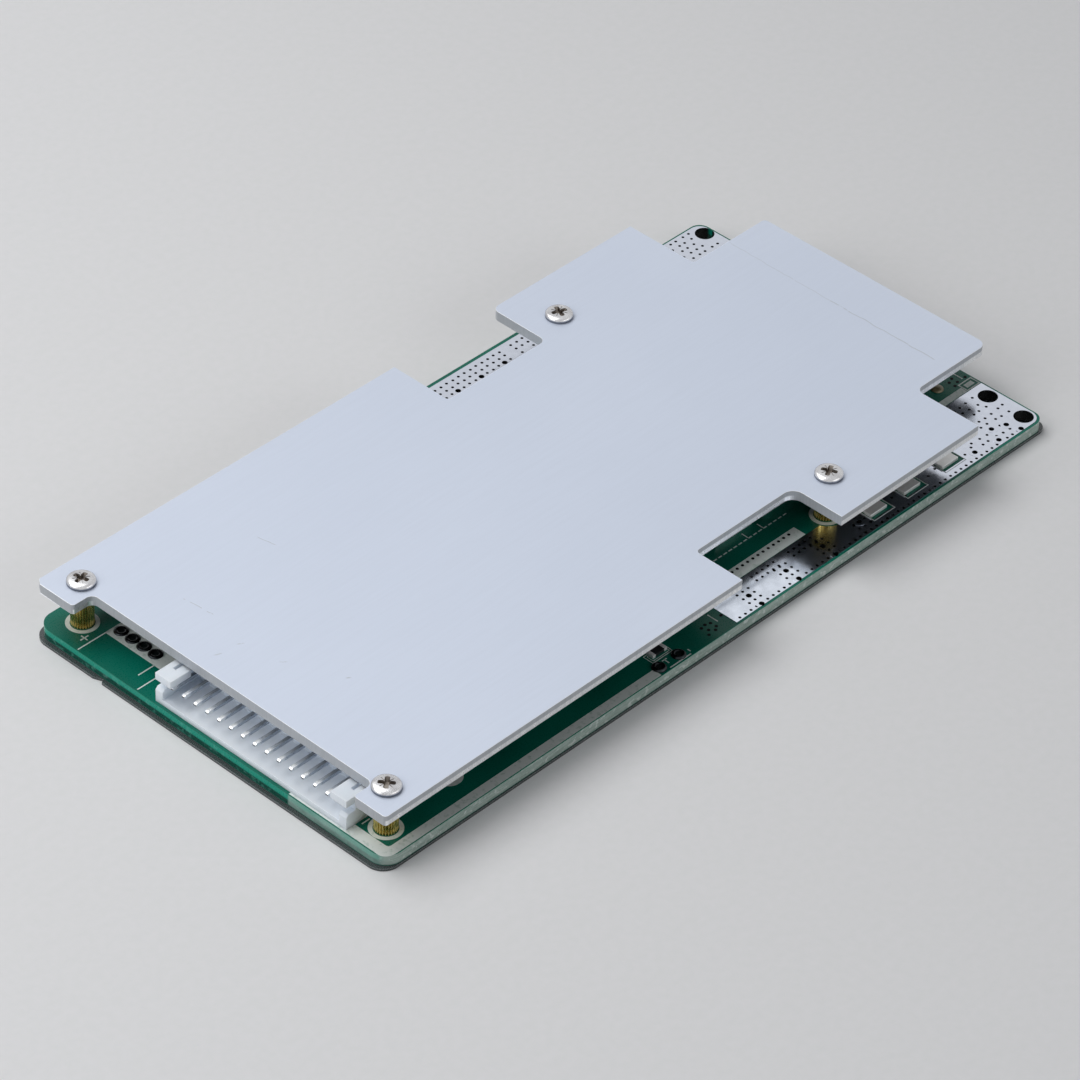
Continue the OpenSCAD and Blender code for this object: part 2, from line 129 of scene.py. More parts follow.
def begin(name: str) -> Piece:
    """Names the active piece, and moves its place, turn and scale into its mesh.

    Args:
        name: Name of the piece.

    Returns:
        The piece, with its object at the origin.
    """
    piece = bpy.context.object
    piece.name = name
    piece.data.name = name
    take(piece)
    bpy.ops.object.transform_apply(location=True, rotation=True, scale=True)
    return piece


def open_mesh(piece: Piece) -> None:
    """Takes a piece into edit mode."""
    take(piece)
    bpy.ops.object.mode_set(mode="EDIT")


def close_mesh() -> None:
    """Returns from edit mode to object mode."""
    bpy.ops.object.mode_set(mode="OBJECT")


def pick(kind: Element, test: Callable[[Any], bool]) -> None:
    """Selects elements of the mesh in edit mode by their place or direction.

    Args:
        kind: Vertices, edges or faces.
        test: Tells whether an element is wanted.
    """
    bpy.ops.mesh.select_mode(type=kind.value)
    bpy.ops.mesh.select_all(action="DESELECT")
    mesh = bpy.context.edit_object.data
    shape = bmesh.from_edit_mesh(mesh)
    pools = {Element.VERTEX: shape.verts, Element.EDGE: shape.edges, Element.FACE: shape.faces}
    for item in pools[kind]:
        if test(item):
            item.select_set(True)
    shape.select_flush_mode()
    bmesh.update_edit_mesh(mesh)


def pick_round_top() -> None:
    """Selects the round face on top of a turned piece."""
    pick(Element.FACE, lambda f: f.normal.z > 0.9 and len(f.verts) > 10)


def pull(*step: float) -> None:
    """Extrudes what is selected by a step in x, y and z."""
    bpy.ops.mesh.extrude_region_move(TRANSFORM_OT_translate={"value": [c * MM for c in step]})


def inset(width: float, depth: float = 0.0, each: bool = False) -> None:
    """Insets the selected faces, together or each by itself."""
    bpy.ops.mesh.inset(thickness=width * MM, depth=depth * MM, use_individual=each)


def bevel(width: float, steps: int) -> None:
    """Rounds the selected edges."""
    bpy.ops.mesh.bevel(offset=width * MM, segments=steps, affect="EDGES")


def narrow(x: float, y: float, level: float = 0.0) -> None:
    """Scales what is selected about the z axis, at a height."""
    bpy.ops.transform.resize(value=(x, y, 1), center_override=(0, 0, level * MM))


def face_out() -> None:
    """Turns all the faces of the mesh in edit mode outwards."""
    bpy.ops.mesh.select_all(action="SELECT")
    bpy.ops.mesh.normals_make_consistent(inside=False)


def middle(edge: bmesh.types.BMEdge) -> Vector:
    """Gives the middle of an edge in millimetres."""
    return (edge.verts[0].co + edge.verts[1].co) / 2 / MM


def climb(edge: bmesh.types.BMEdge) -> float:
    """Gives how far an edge climbs, in millimetres."""
    return abs((edge.verts[0].co - edge.verts[1].co).z) / MM


def block(name: str, low: Point, high: Point) -> Piece:
    """Adds a box between two corners.

    Args:
        name: Name of the new piece.
        low: Lowest corner.
        high: Highest corner.

    Returns:
        The new piece.
    """
    rest_hands()
    centre = [(a + b) / 2 * MM for a, b in zip(low, high)]
    size = [(b - a) * MM for a, b in zip(low, high)]
    bpy.ops.mesh.primitive_cube_add(size=1, location=centre, scale=size)
    return begin(name)


def turned(name: str, profile: Sequence[Plane], sides: int) -> Piece:
    """Builds a turned piece about the z axis, ring by ring.

    Args:
        name: Name of the new piece.
        profile: Radius and height of each ring, from the bottom up.
        sides: Number of sides of each ring.

    Returns:
        The new piece, closed at both ends.
    """
    rest_hands()
    radius, height = profile[0]
    bpy.ops.mesh.primitive_circle_add(
        vertices=sides, radius=radius * MM, fill_type="NGON", location=(0, 0, height * MM)
    )
    piece = begin(name)
    open_mesh(piece)
    bpy.ops.mesh.select_all(action="SELECT")
    for ring, level in profile[1:]:
        pull(0, 0, level - height)
        narrow(ring / radius, ring / radius, level)
        radius, height = ring, level
    face_out()
    close_mesh()
    return piece


def washer(outer: float, inner: float, height: float) -> Piece:
    """Builds a flat ring at the origin.

    Args:
        outer: Outer radius.
        inner: Inner radius.
        height: Its thickness.

    Returns:
        The ring.
    """
    piece = turned("washer", [(outer, 0), (outer, height)], 64)
    open_mesh(piece)
    pick(Element.FACE, lambda f: abs(f.normal.z) > 0.9)
    inset(outer - inner, each=True)
    bpy.ops.mesh.bridge_edge_loops()
    close_mesh()
    return piece


def relieve(piece: Piece, width: float, steps: int = 2, sharp: float = 42) -> Piece:
    """Rounds a piece's sharp edges.

    Args:
        piece: The piece.
        width: Width of the rounding.
        steps: Number of facets across it.
        sharp: Edges sharper than this many degrees are rounded.

    Returns:
        The same piece.
    """
    take(piece)
    rounding = piece.modifiers.new("edge_relief", "BEVEL")
    rounding.width = width * MM
    rounding.segments = steps
    rounding.limit_method = "ANGLE"
    rounding.angle_limit = math.radians(sharp)
    bpy.ops.object.modifier_apply(modifier=rounding.name)
    return piece


def cut_away(piece: Piece, *tools: Piece) -> None:
    """Cuts tools out of a piece and clears them away.

    Args:
        piece: The piece that is cut.
        *tools: The shapes that are cut out of it.
    """
    for tool in tools:
        take(piece)
        cut = piece.modifiers.new("cut", "BOOLEAN")
        cut.operation = "DIFFERENCE"
        cut.solver = "MANIFOLD"
        cut.object = tool
        bpy.ops.object.modifier_apply(modifier=cut.name)
        bpy.data.objects.remove(tool, do_unlink=True)


def soften(piece: Piece, angle: float = 35) -> Piece:
    """Shades a piece smooth, flat faces first.

    Args:
        piece: The piece.
        angle: Faces that meet at less than this many degrees are shaded as one.

    Returns:
        The same piece.
    """
    take(piece)
    bpy.ops.object.shade_smooth_by_angle(angle=math.radians(angle))
    flats = piece.modifiers.new("flat_faces_first", "WEIGHTED_NORMAL")
    flats.keep_sharp = True
    flats.weight = 100
    bpy.ops.object.modifier_apply(modifier=flats.name)
    return piece


def put(piece: Piece, name: str, place: Point, turn: float = 0.0) -> Piece:
    """Moves a piece that was built at the origin to its place.

    Args:
        piece: The piece.
        name: Its name there.
        place: Its place.
        turn: Its turn about the z axis, in degrees.

    Returns:
        The same piece.
    """
    piece.rotation_euler = (0, 0, math.radians(turn))
    piece.location = [c * MM for c in place]
    take(piece)
    return begin(name)


def merge(pieces: Sequence[Piece], name: str) -> Piece:
    """Joins pieces into one.

    Args:
        pieces: The pieces to join.
        name: Name of the result.

    Returns:
        The joined piece.
    """
    rest_hands()
    for piece in pieces:
        piece.select_set(True)
    bpy.context.view_layer.objects.active = pieces[0]
    bpy.ops.object.join()
    return begin(name)


# ---------------------------------------------------------------------------------------
# Frame
# ---------------------------------------------------------------------------------------


@dataclass
class Plan:
    """Turns plan positions into places in the part's frame."""

    nodes: dict[str, Piece]
    corner: Point = field(init=False)
    length: float = field(init=False)

    def __post_init__(self) -> None:
        """Reads the board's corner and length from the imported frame."""
        low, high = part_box("circuit_board")
        self.corner = (low.x / MM, low.y / MM, high.z / MM)
        self.length = (high.x - low.x) / MM

    def at(self, x: float, y: float, height: float = 0.0) -> Point:
        """Gives the place of a plan position, at a height above the board's top face."""
        return (self.corner[0] + x, self.corner[1] + y, self.corner[2] + height)

    def copy_node(self, node: str, name: str) -> Piece:
        """Copies a CAD node as one sound mesh that can be finished.

        Args:
            node: Name of the CAD node.
            name: Name of the copy.

        Returns:
            The copy, with its triangles merged into flat faces.
        """
        take(self.nodes[node])
        bpy.ops.object.duplicate()
        piece = bpy.context.object
        for key in list(piece.keys()):
            del piece[key]
        piece.parent = None
        begin(name)
        piece.data.materials.clear()
        open_mesh(piece)
        bpy.ops.mesh.select_all(action="SELECT")
        bpy.ops.mesh.customdata_custom_splitnormals_clear()
        bpy.ops.mesh.remove_doubles(threshold=0.002 * MM)
        bpy.ops.mesh.dissolve_limited(angle_limit=math.radians(0.6))
        close_mesh()
        return piece

    def repaint(self, node: str, material: Material) -> None:
        """Gives a CAD node its finish.

        Args:
            node: Name of the CAD node.
            material: The finish.
        """
        piece = self.nodes[node]
        if not piece.material_slots:
            piece.data.materials.append(material)
        for place in piece.material_slots:
            place.material = material


# ---------------------------------------------------------------------------------------
# Finishes
# ---------------------------------------------------------------------------------------


class Tree:
    """A node tree, with short calls for adding its nodes."""

    def __init__(self, tree: bpy.types.NodeTree) -> None:
        """Empties the tree."""
        self.tree = tree
        self.tree.nodes.clear()

    def feed(self, target: bpy.types.NodeSocket, value: Any) -> None:
        """Sets a socket to a value, or links it to another socket.

        Args:
            target: The socket that receives.
            value: A number, a colour or a socket.
        """
        if isinstance(value, bpy.types.NodeSocket):
            self.tree.links.new(value, target)
        elif isinstance(value, tuple) and len(value) == 3 and target.type == "RGBA":
            target.default_value = (*value, 1.0)
        else:
            target.default_value = value

    def add(self, kind: str, inputs: dict[Any, Any] | None = None, **settings: Any) -> Any:
        """Adds a node.

        Args:
            kind: The node's type name.
            inputs: What each of its inputs is set or linked to, by name or number.
            **settings: Its properties.

        Returns:
            The node.
        """
        node = self.tree.nodes.new(kind)
        for key, value in settings.items():
            setattr(node, key, value)
        for key, value in (inputs or {}).items():
            self.feed(node.inputs[key], value)
        return node

    def math(self, what: str, a: Any, b: Any = 0.0, clamp: bool = False) -> Any:
        """Adds a Math node and gives its result, kept between 0 and 1 if clamped."""
        return self.add("ShaderNodeMath", {0: a, 1: b}, operation=what, use_clamp=clamp).outputs[0]

    def times(self, a: Any, b: Any) -> Any:
        """Multiplies two values."""
        return self.math("MULTIPLY", a, b)

    def less(self, a: Any, b: Any) -> Any:
        """Takes the second value from the first."""
        return self.math("SUBTRACT", a, b)

    def size(self, a: Any) -> Any:
        """Gives a value without its sign."""
        return self.math("ABSOLUTE", a)


class Sheet(Tree):
    """The node tree of one finish, with a short call for each kind of pattern it uses."""

    def __init__(self, name: str, plan: Plan) -> None:
        """Starts a tree with a shader that is painted in Object coordinates.

        Args:
            name: Name of the material.
            plan: The board's plan, which places the marks.
        """
        self.plan = plan
        self.material = bpy.data.materials.new(name)
        self.material.use_nodes = True
        super().__init__(self.material.node_tree)
        self.shader = self.add("ShaderNodeBsdfPrincipled")
        self.add("ShaderNodeOutputMaterial", {"Surface": self.shader.outputs["BSDF"]})
        place = self.add("ShaderNodeTexCoord")
        self.point = place.outputs["Object"]
        self.facing = place.outputs["Normal"]

    def shade(self, **values: Any) -> None:
        """Sets inputs of the shader, with underscores for the spaces in their names."""
        for key, value in values.items():
            self.feed(self.shader.inputs[key.replace("_", " ")], value)

    def noise(self, size: float, detail: float = 2.0, grain: Point | None = None) -> Any:
        """Adds a noise.

        Args:
            size: Size of its main features.
            detail: How many finer layers it has.
            grain: How much it is squeezed along each axis.

        Returns:
            The noise's value.
        """
        place = self.point
        if grain:
            place = self.add("ShaderNodeMapping", {"Vector": place, "Scale": grain}).outputs[0]
        inputs = {"Vector": place, "Scale": 1 / (size * MM), "Detail": detail}
        return self.add("ShaderNodeTexNoise", inputs).outputs[0]

    def cells(self, size: float) -> Any:
        """Adds a pattern of cells of one size, darkest in their middles."""
        inputs = {"Vector": self.point, "Scale": 1 / (size * MM)}
        return self.add("ShaderNodeTexVoronoi", inputs).outputs[0]

    def axis(self, which: int, source: Any = None) -> Any:
        """Gives one coordinate of the Object point, in metres, or of another vector."""
        inputs = {0: self.point if source is None else source}
        return self.add("ShaderNodeSeparateXYZ", inputs).outputs[which]

    def rise(self, value: Any, low: float, high: float) -> Any:
        """Gives 0 below one value, 1 above another and a smooth step between."""
        inputs = {"Value": value, "From Min": low, "From Max": high}
        return self.add("ShaderNodeMapRange", inputs, interpolation_type="SMOOTHSTEP").outputs[0]

    def fall(self, value: Any, low: float, high: float) -> Any:
        """Gives 1 below one value, 0 above another and a smooth step between."""
        return self.less(1.0, self.rise(value, low, high))

    def band(self, value: Any, low: float, high: float, soft: float) -> Any:
        """Gives 1 between two values, with soft ends of one width."""
        up, down = (self.rise(value, end - soft, end + soft) for end in (low, high))
        return self.math("SUBTRACT", up, down, clamp=True)

    def blend(self, share: Any, first: Any, second: Any) -> Any:
        """Mixes a share of a second colour into a first."""
        inputs = {0: share, 6: first, 7: second}
        return self.add("ShaderNodeMix", inputs, data_type="RGBA").outputs[2]

    def vary(self, source: Any, low: float, high: float) -> Any:
        """Spreads the usual span of a noise over a range of numbers."""
        inputs = {"Value": source, "From Min": 0.3, "From Max": 0.7, "To Min": low, "To Max": high}
        return self.add("ShaderNodeMapRange", inputs).outputs[0]

    def emboss(self, *layers: tuple[Any, float]) -> None:
        """Raises the surface by one or more patterns.

        Args:
            *layers: Each a pattern and the height, in millimetres, that it stands for.
        """
        below: dict[str, Any] = {}
        for pattern, height in layers:
            inputs = {"Height": pattern, "Strength": 1.0, "Distance": height * MM, **below}
            below = {"Normal": self.add("ShaderNodeBump", inputs).outputs[0]}
        self.shade(**below)


@dataclass(frozen=True)
class Finish:
    """One finish: the name of its material and the way its surface is painted."""

    name: str

    def make(self, plan: Plan) -> Material:
        """Builds the material.

        Args:
            plan: The board's plan, which places the marks.

        Returns:
            The material.
        """
        sheet = Sheet(self.name, plan)
        self.paint(sheet)
        return sheet.material

    def paint(self, sheet: Sheet) -> None:
        """Paints the surface, each finish in its own way."""
        raise NotImplementedError


@dataclass(frozen=True)
class Scratch:
    """One mark on the heat plate, between two plan positions."""

    start: Plane
    end: Plane
    width: float
    depth: float
    gaps: float


@dataclass(frozen=True)
class PlateFinish(Finish):
    """Matte, faintly blue aluminium sheet with sheared edges, a crease and light scratches."""

    name: str = "plate_aluminium"
    pale: Colour = (0.650, 0.710, 0.832)
    deep: Colour = (0.620, 0.680, 0.802)
    rolled: Colour = (0.54, 0.59, 0.69)
    specks: Colour = (0.74, 0.78, 0.85)
    worn: Colour = (0.40, 0.42, 0.45)
    edge_dull: Colour = (0.42, 0.445, 0.475)
    edge_streak: Colour = (0.58, 0.60, 0.63)
    # Colour of the lower sheared band, partly real burnish and partly painted highlight, and of the
    # painted bevel highlight.
    burnish_and_highlight: Colour = (0.95, 0.96, 0.97)
    # Painted shade: colour of the plate's underside.
    painted_underside_shade: Colour = (0.10, 0.105, 0.115)
    sheared: Plane = (0.75, 1.0)
    scratches: tuple[Scratch, ...] = (
        Scratch((139.4, 60.0), (139.2, 38.0), 0.16, 0.30, 0.3),
        Scratch((139.2, 38.0), (139.3, 16.0), 0.20, 0.55, 0.3),
        Scratch((13.2, 56.0), (13.9, 50.0), 0.14, 0.65, 0.36),
        Scratch((31.2, 58.6), (31.9, 55.4), 0.12, 0.60, 0.36),
        Scratch((7.6, 43.2), (8.6, 42.8), 0.24, 0.50, 0.3),
        Scratch((11.7, 42.7), (12.5, 42.2), 0.22, 0.50, 0.3),
        Scratch((17.8, 26.0), (18.3, 25.7), 0.24, 0.65, 0.3),
        Scratch((13.4, 35.4), (14.1, 34.8), 0.22, 0.45, 0.3),
    )

    def mark(self, sheet: Sheet, scratch: Scratch) -> Any:
        """Paints one scratch as the distance from a line.

        Args:
            sheet: The finish's node tree.
            scratch: The scratch.

        Returns:
            A mask that is 1 on the scratch.
        """
        start, end = sheet.plan.at(*scratch.start), sheet.plan.at(*scratch.end)
        run = Vector((end[0] - start[0], end[1] - start[1]))
        length = run.length
        run.normalize()
        x = sheet.less(sheet.axis(0), start[0] * MM)
        y = sheet.less(sheet.axis(1), start[1] * MM)
        along = sheet.math("ADD", sheet.times(x, run.x), sheet.times(y, run.y))
        across = sheet.less(sheet.times(x, run.y), sheet.times(y, run.x))
        wobble = sheet.vary(sheet.noise(2.5), -0.12 * MM, 0.12 * MM)
        half = scratch.width / 2 * MM
        beside = sheet.size(sheet.math("ADD", across, wobble))
        thin = sheet.fall(beside, half * 0.4, half * 1.6)
        inside = sheet.band(along, 0.0, length * MM, 0.3 * MM)
        broken = sheet.rise(sheet.noise(1.1, 3), scratch.gaps, scratch.gaps + 0.08)
        return sheet.times(sheet.times(sheet.times(thin, inside), broken), scratch.depth)

    def paint(self, sheet: Sheet) -> None:
        """Paints the rolled face, its marks, the sheared edges with a burnished band that also carries
        a painted highlight, a painted highlight on the top bevels, and painted shade on the underside.

        Args:
            sheet: The finish's node tree.
        """
        rolled = sheet.noise(0.5, 3, (0.06, 1, 1))
        speck = sheet.noise(0.16, 2)
        colour = sheet.blend(sheet.vary(sheet.noise(38, 2), 0.1, 0.9), self.pale, self.deep)
        colour = sheet.blend(sheet.vary(rolled, 0.0, 0.14), colour, self.rolled)
        colour = sheet.blend(sheet.vary(speck, 0.0, 0.10), colour, self.specks)
        wear = self.mark(sheet, self.scratches[0])
        for scratch in self.scratches[1:]:
            wear = sheet.math("MAXIMUM", wear, self.mark(sheet, scratch))
        colour = sheet.blend(wear, colour, self.worn)

        tilt = sheet.axis(2, sheet.facing)
        upright = sheet.fall(sheet.size(tilt), 0.2, 0.75)
        # Painted highlight: the upward-sloping bevel faces along the top edges are lightened.
        painted_bevel_highlight = sheet.times(sheet.band(tilt, 0.3, 0.96, 0.03), 0.8)
        start, end = (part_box("heat_plate")[0].z + level * MM for level in self.sheared)
        # The lower sheared band is partly a real burnished zone and partly a painted highlight: it is
        # laid only on faces that point right (-y).
        highlit_right_faces = sheet.rise(sheet.times(sheet.axis(1, sheet.facing), -1.0), 0.5, 0.9)
        streaks = sheet.noise(0.35, 3, (1, 1, 0.08))
        bright = sheet.times(sheet.fall(sheet.axis(2), start, end), highlit_right_faces)
        bright = sheet.times(bright, sheet.vary(streaks, 0.55, 1.0))
        cut = sheet.blend(sheet.vary(streaks, 0.0, 0.35), self.edge_dull, self.edge_streak)
        cut = sheet.blend(bright, cut, self.burnish_and_highlight)
        colour = sheet.blend(upright, colour, cut)
        colour = sheet.blend(painted_bevel_highlight, colour, self.burnish_and_highlight)
        # Painted shade: faces that point down get the dark underside colour.
        colour = sheet.blend(sheet.rise(tilt, -0.6, -0.9), colour, self.painted_underside_shade)
        sheet.shade(
            Base_Color=colour,
            Metallic=sheet.math("ADD", sheet.times(bright, 0.6), 0.25),
            Roughness=sheet.less(sheet.vary(speck, 0.40, 0.50), sheet.times(bright, 0.18)),
        )
        sheet.emboss((speck, 0.004), (rolled, 0.002), (sheet.times(wear, -1.0), 0.02))


@dataclass(frozen=True)
class MaskFinish(Finish):
    """Green solder mask over copper, with sawn glass-fibre edges."""

    name: str = "solder_mask"
    green: Colour = (0.001, 0.160, 0.110)
    deep: Colour = (0.001, 0.118, 0.080)
    skin: Colour = (0.004, 0.20, 0.13)
    edge_pale: Colour = (0.47, 0.57, 0.52)
    edge_grey: Colour = (0.20, 0.30, 0.26)
    edge_chip: Colour = (0.75, 0.80, 0.77)
    front_green: Colour = (0.003, 0.31, 0.215)
    # Painted shade for the lower part of the front edge.
    front_painted_shade: Colour = (0.002, 0.07, 0.05)
    front_chip: Colour = (0.12, 0.45, 0.36)
    front_pale: Colour = (0.34, 0.50, 0.45)
    # Painted shade for the walls of the holes.
    painted_hole_shade: Colour = (0.006, 0.007, 0.007)
    corner_r: float = 3.0
    strip_end: float = 20.0

    def in_hole(self, sheet: Sheet, low: Vector, high: Vector) -> Any:
        """Tells the walls of the holes from the board's outer edge.

        Args:
            sheet: The finish's node tree.
            low: The board's lowest corner, in metres.
            high: Its highest corner.

        Returns:
            A mask that is 1 inside the outline, apart from its rounded corners.
        """
        inward = []
        for i in (0, 1):
            off_centre = sheet.size(sheet.less(sheet.axis(i), (high[i] + low[i]) / 2))
            inward.append(sheet.less((high[i] - low[i]) / 2, off_centre))
        past = []
        for side in inward:
            short = sheet.math("MAXIMUM", sheet.less(self.corner_r * MM, side), 0.0)
            past.append(sheet.math("POWER", short, 2.0))
        reach = sheet.math("SQRT", sheet.math("ADD", *past))
        clear = sheet.fall(reach, (self.corner_r - 0.3) * MM, (self.corner_r - 0.2) * MM)
        inside = sheet.rise(sheet.math("MINIMUM", *inward), 0.2 * MM, 0.3 * MM)
        return sheet.times(inside, clear)

    def paint(self, sheet: Sheet) -> None:
        """Paints the mask, the green front edge with painted shade on its lower part, the pale side
        edges and painted shade on the hole walls.

        Args:
            sheet: The finish's node tree.
        """
        fine = sheet.noise(0.25, 2)
        colour = sheet.blend(sheet.vary(sheet.noise(9, 2), 0.0, 1.0), self.green, self.deep)
        flat = sheet.rise(sheet.size(sheet.axis(2, sheet.facing)), 0.4, 0.8)
        along_side = sheet.rise(sheet.size(sheet.axis(1, sheet.facing)), 0.35, 0.75)
        low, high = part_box("circuit_board")
        level = sheet.axis(2)
        upper_skin = sheet.rise(level, high.z - 0.16 * MM, high.z - 0.08 * MM)
        lower_skin = sheet.fall(level, low.z + 0.05 * MM, low.z + 0.12 * MM)
        fibre = sheet.noise(0.6, 4, (0.25, 0.25, 3.0))
        chips = sheet.rise(sheet.noise(0.9, 4), 0.56, 0.66)
        pale = sheet.blend(sheet.vary(fibre, 0.0, 0.7), self.edge_pale, self.edge_grey)
        pale = sheet.blend(sheet.times(chips, 0.6), pale, self.edge_chip)
        # Painted shade: the lower part of the board's front edge is darkened.
        lower = sheet.fall(level, low.z + 0.8 * MM, low.z + 1.1 * MM)
        front = sheet.blend(lower, self.front_green, self.front_painted_shade)
        front = sheet.blend(sheet.times(chips, 0.35), front, self.front_chip)
        end = sheet.plan.at(0, self.strip_end)[1] * MM
        beside = sheet.fall(sheet.axis(1), end - 0.2 * MM, end + 0.2 * MM)
        mottle = sheet.vary(sheet.noise(2.4, 4, (1, 0.4, 1)), 0.35, 0.85)
        front = sheet.blend(sheet.times(beside, mottle), front, self.front_pale)
        side = sheet.blend(along_side, front, pale)
        side = sheet.blend(sheet.math("MAXIMUM", upper_skin, lower_skin), side, self.skin)
        # Painted shade: the walls of the holes are made near-black.
        side = sheet.blend(self.in_hole(sheet, low, high), side, self.painted_hole_shade)
        sheet.shade(
            Base_Color=sheet.blend(flat, side, colour),
            Roughness=sheet.vary(fine, 0.24, 0.36),
            Specular_IOR_Level=0.22,
        )
        sheet.emboss((fine, 0.002), (fibre, 0.006))


@dataclass(frozen=True)
class TinFinish(Finish):
    """Hot-levelled tin: bright, wavy, a little frosted, duller towards the far left."""

    name: str = "tinned_copper"
    bright: Colour = (0.71, 0.755, 0.835)
    grey: Colour = (0.56, 0.60, 0.675)
    dull: Colour = (0.54, 0.565, 0.635)
    fade_start: Plane = (100, 20)
    fade_end: Plane = (128, 45)
    wave: float = 0.02

    def paint(self, sheet: Sheet) -> None:
        """Paints the frosted tin, duller in spots towards the far left.

        Args:
            sheet: The finish's node tree.
        """
        frost = sheet.noise(2.2, 4)
        colour = sheet.blend(sheet.vary(frost, 0.0, 0.8), self.bright, self.grey)
        near, far = sheet.plan.at(*self.fade_start), sheet.plan.at(*self.fade_end)
        fades = [sheet.rise(sheet.axis(i), near[i] * MM, far[i] * MM) for i in (0, 1)]
        spots = sheet.vary(sheet.noise(0.9, 4), 0.7, 1.0)
        # Towards the far left the tin is made duller in spots.
        far_dulling = sheet.times(sheet.math("MAXIMUM", *fades), spots)
        colour = sheet.blend(far_dulling, colour, self.dull)
        sheet.shade(Base_Color=colour, Metallic=1.0, Roughness=sheet.vary(frost, 0.10, 0.22))
        swell = sheet.noise(3.4, 1)
        sheet.emboss((swell, self.wave), (frost, 0.004), (sheet.cells(0.28), 0.001))


@dataclass(frozen=True)
class MixedFinish(Finish):
    """A surface of two shades: a stained metal, or a clouded plastic or ceramic."""

    light: Colour
    dark: Colour
    roughness: Plane = (0.4, 0.55)
    grain: Plane = (0.12, 2)
    relief: float = 0.006
    cloud: Plane = (2.5, 3)
    cloud_share: float = 1.0
    cloud_relief: float = 2.0
    metallic: float = 0.0
    shine: float = 0.5
    glow: float = 0.0

    def paint(self, sheet: Sheet) -> None:
        """Paints the two shades and the grain, and lets light in where the surface glows.

        Args:
            sheet: The finish's node tree.
        """
        cloud, grain = sheet.noise(*self.cloud), sheet.noise(*self.grain)
        share = sheet.vary(cloud, 0.0, self.cloud_share)
        sheet.shade(
            Base_Color=sheet.blend(share, self.light, self.dark),
            Metallic=self.metallic,
            Roughness=sheet.vary(grain, *self.roughness),
            Specular_IOR_Level=self.shine,
        )
        if self.glow:
            sheet.shade(Subsurface_Weight=self.glow, Subsurface_Scale=0.002)
            sheet.shade(Subsurface_Radius=(1.0, 1.0, 1.0))
        sheet.emboss((grain, self.relief), (cloud, self.relief * self.cloud_relief))


def metal(
    name: str, light: Colour, dark: Colour, roughness: Plane = (0.16, 0.3), **more: Any
) -> MixedFinish:
    """Gives the finish of a stained metal with fine scratches."""
    usual = {"relief": 0.003, "metallic": 1.0}
    stain = {"grain": (0.12, 3), "cloud": (1.2, 3), "cloud_share": 0.9, "cloud_relief": 1.0}
    return MixedFinish(name, light, dark, roughness, **{**usual, **stain, **more})


@dataclass(frozen=True)
class PinFinish(Finish):
    """Tinned pins, bright towards their tips, with painted shade and dark reflection in grey further
    in.
    """

    name: str = "pin_metal"
    bright: Colour = (0.90, 0.91, 0.91)
    # Painted shade and dark reflection on the shanks, away from the tips.
    painted_shank_shade: Colour = (0.48, 0.53, 0.60)
    fade: Plane = (2.1, 3.0)

    def paint(self, sheet: Sheet) -> None:
        """Paints the bright tips and the shanks, which carry painted shade and dark reflection in grey.

        Args:
            sheet: The finish's node tree.
        """
        stain = sheet.noise(1.0, 3)
        lines = sheet.noise(0.12, 3, (0.1, 1.0, 1.0))
        start, end = (sheet.plan.at(x, 0)[0] * MM for x in self.fade)
        # Painted shade and dark reflection: the pins turn grey further in from their tips, and random
        # patches of that grey lie all along them.
        inward = sheet.rise(sheet.axis(0), start, end)
        colour = sheet.blend(inward, self.bright, self.painted_shank_shade)
        sheet.shade(
            Base_Color=sheet.blend(sheet.vary(stain, 0.0, 0.2), colour, self.painted_shank_shade),
            Metallic=sheet.less(1.0, sheet.times(inward, 0.45)),
            Roughness=sheet.vary(lines, 0.24, 0.36),
        )
        sheet.emboss((lines, 0.003), (stain, 0.003))


@dataclass(frozen=True)
class InkFinish(Finish):
    """Screen-printed white ink, thin and slightly patchy."""

    name: str = "print_ink"
    light: Colour = (0.72, 0.78, 0.75)
    thin: Colour = (0.52, 0.62, 0.57)

    def paint(self, sheet: Sheet) -> None:
        """Paints the patchy ink.

        Args:
            sheet: The finish's node tree.
        """
        patch = sheet.noise(0.7, 4)
        grain = sheet.noise(0.09, 2)
        colour = sheet.blend(sheet.rise(patch, 0.52, 0.72), self.light, self.thin)
        sheet.shade(Base_Color=colour, Roughness=sheet.vary(grain, 0.45, 0.62))
        sheet.emboss((grain, 0.006), (patch, 0.006))


@dataclass(frozen=True)
class FilmFinish(Finish):
    """Stiff insulating film, smoky to look through, with rub marks and a painted highlight along the
    top of its edge.
    """

    name: str = "clear_film"
    tint: Colour = (0.20, 0.235, 0.24)
    # Colour of the painted highlight along the top of the film's edge.
    cut: Colour = (0.46, 0.52, 0.52)

    def paint(self, sheet: Sheet) -> None:
        """Paints the rubbed film and the painted highlight along the top of its edge.

        Args:
            sheet: The finish's node tree.
        """
        rub = sheet.noise(0.5, 4, (0.2, 1, 1))
        upright = sheet.fall(sheet.size(sheet.axis(2, sheet.facing)), 0.3, 0.7)
        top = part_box("insulating_film")[1].z
        # Painted highlight: the top of the film's upright edge is made pale.
        rim = sheet.rise(sheet.axis(2), top - 0.22 * MM, top - 0.16 * MM)
        sheet.shade(
            Base_Color=sheet.blend(sheet.times(upright, rim), self.tint, self.cut),
            Roughness=sheet.vary(rub, 0.10, 0.26),
            Transmission_Weight=0.7,
            IOR=1.45,
        )
        sheet.emboss((rub, 0.006), (sheet.noise(6, 2), 0.03))


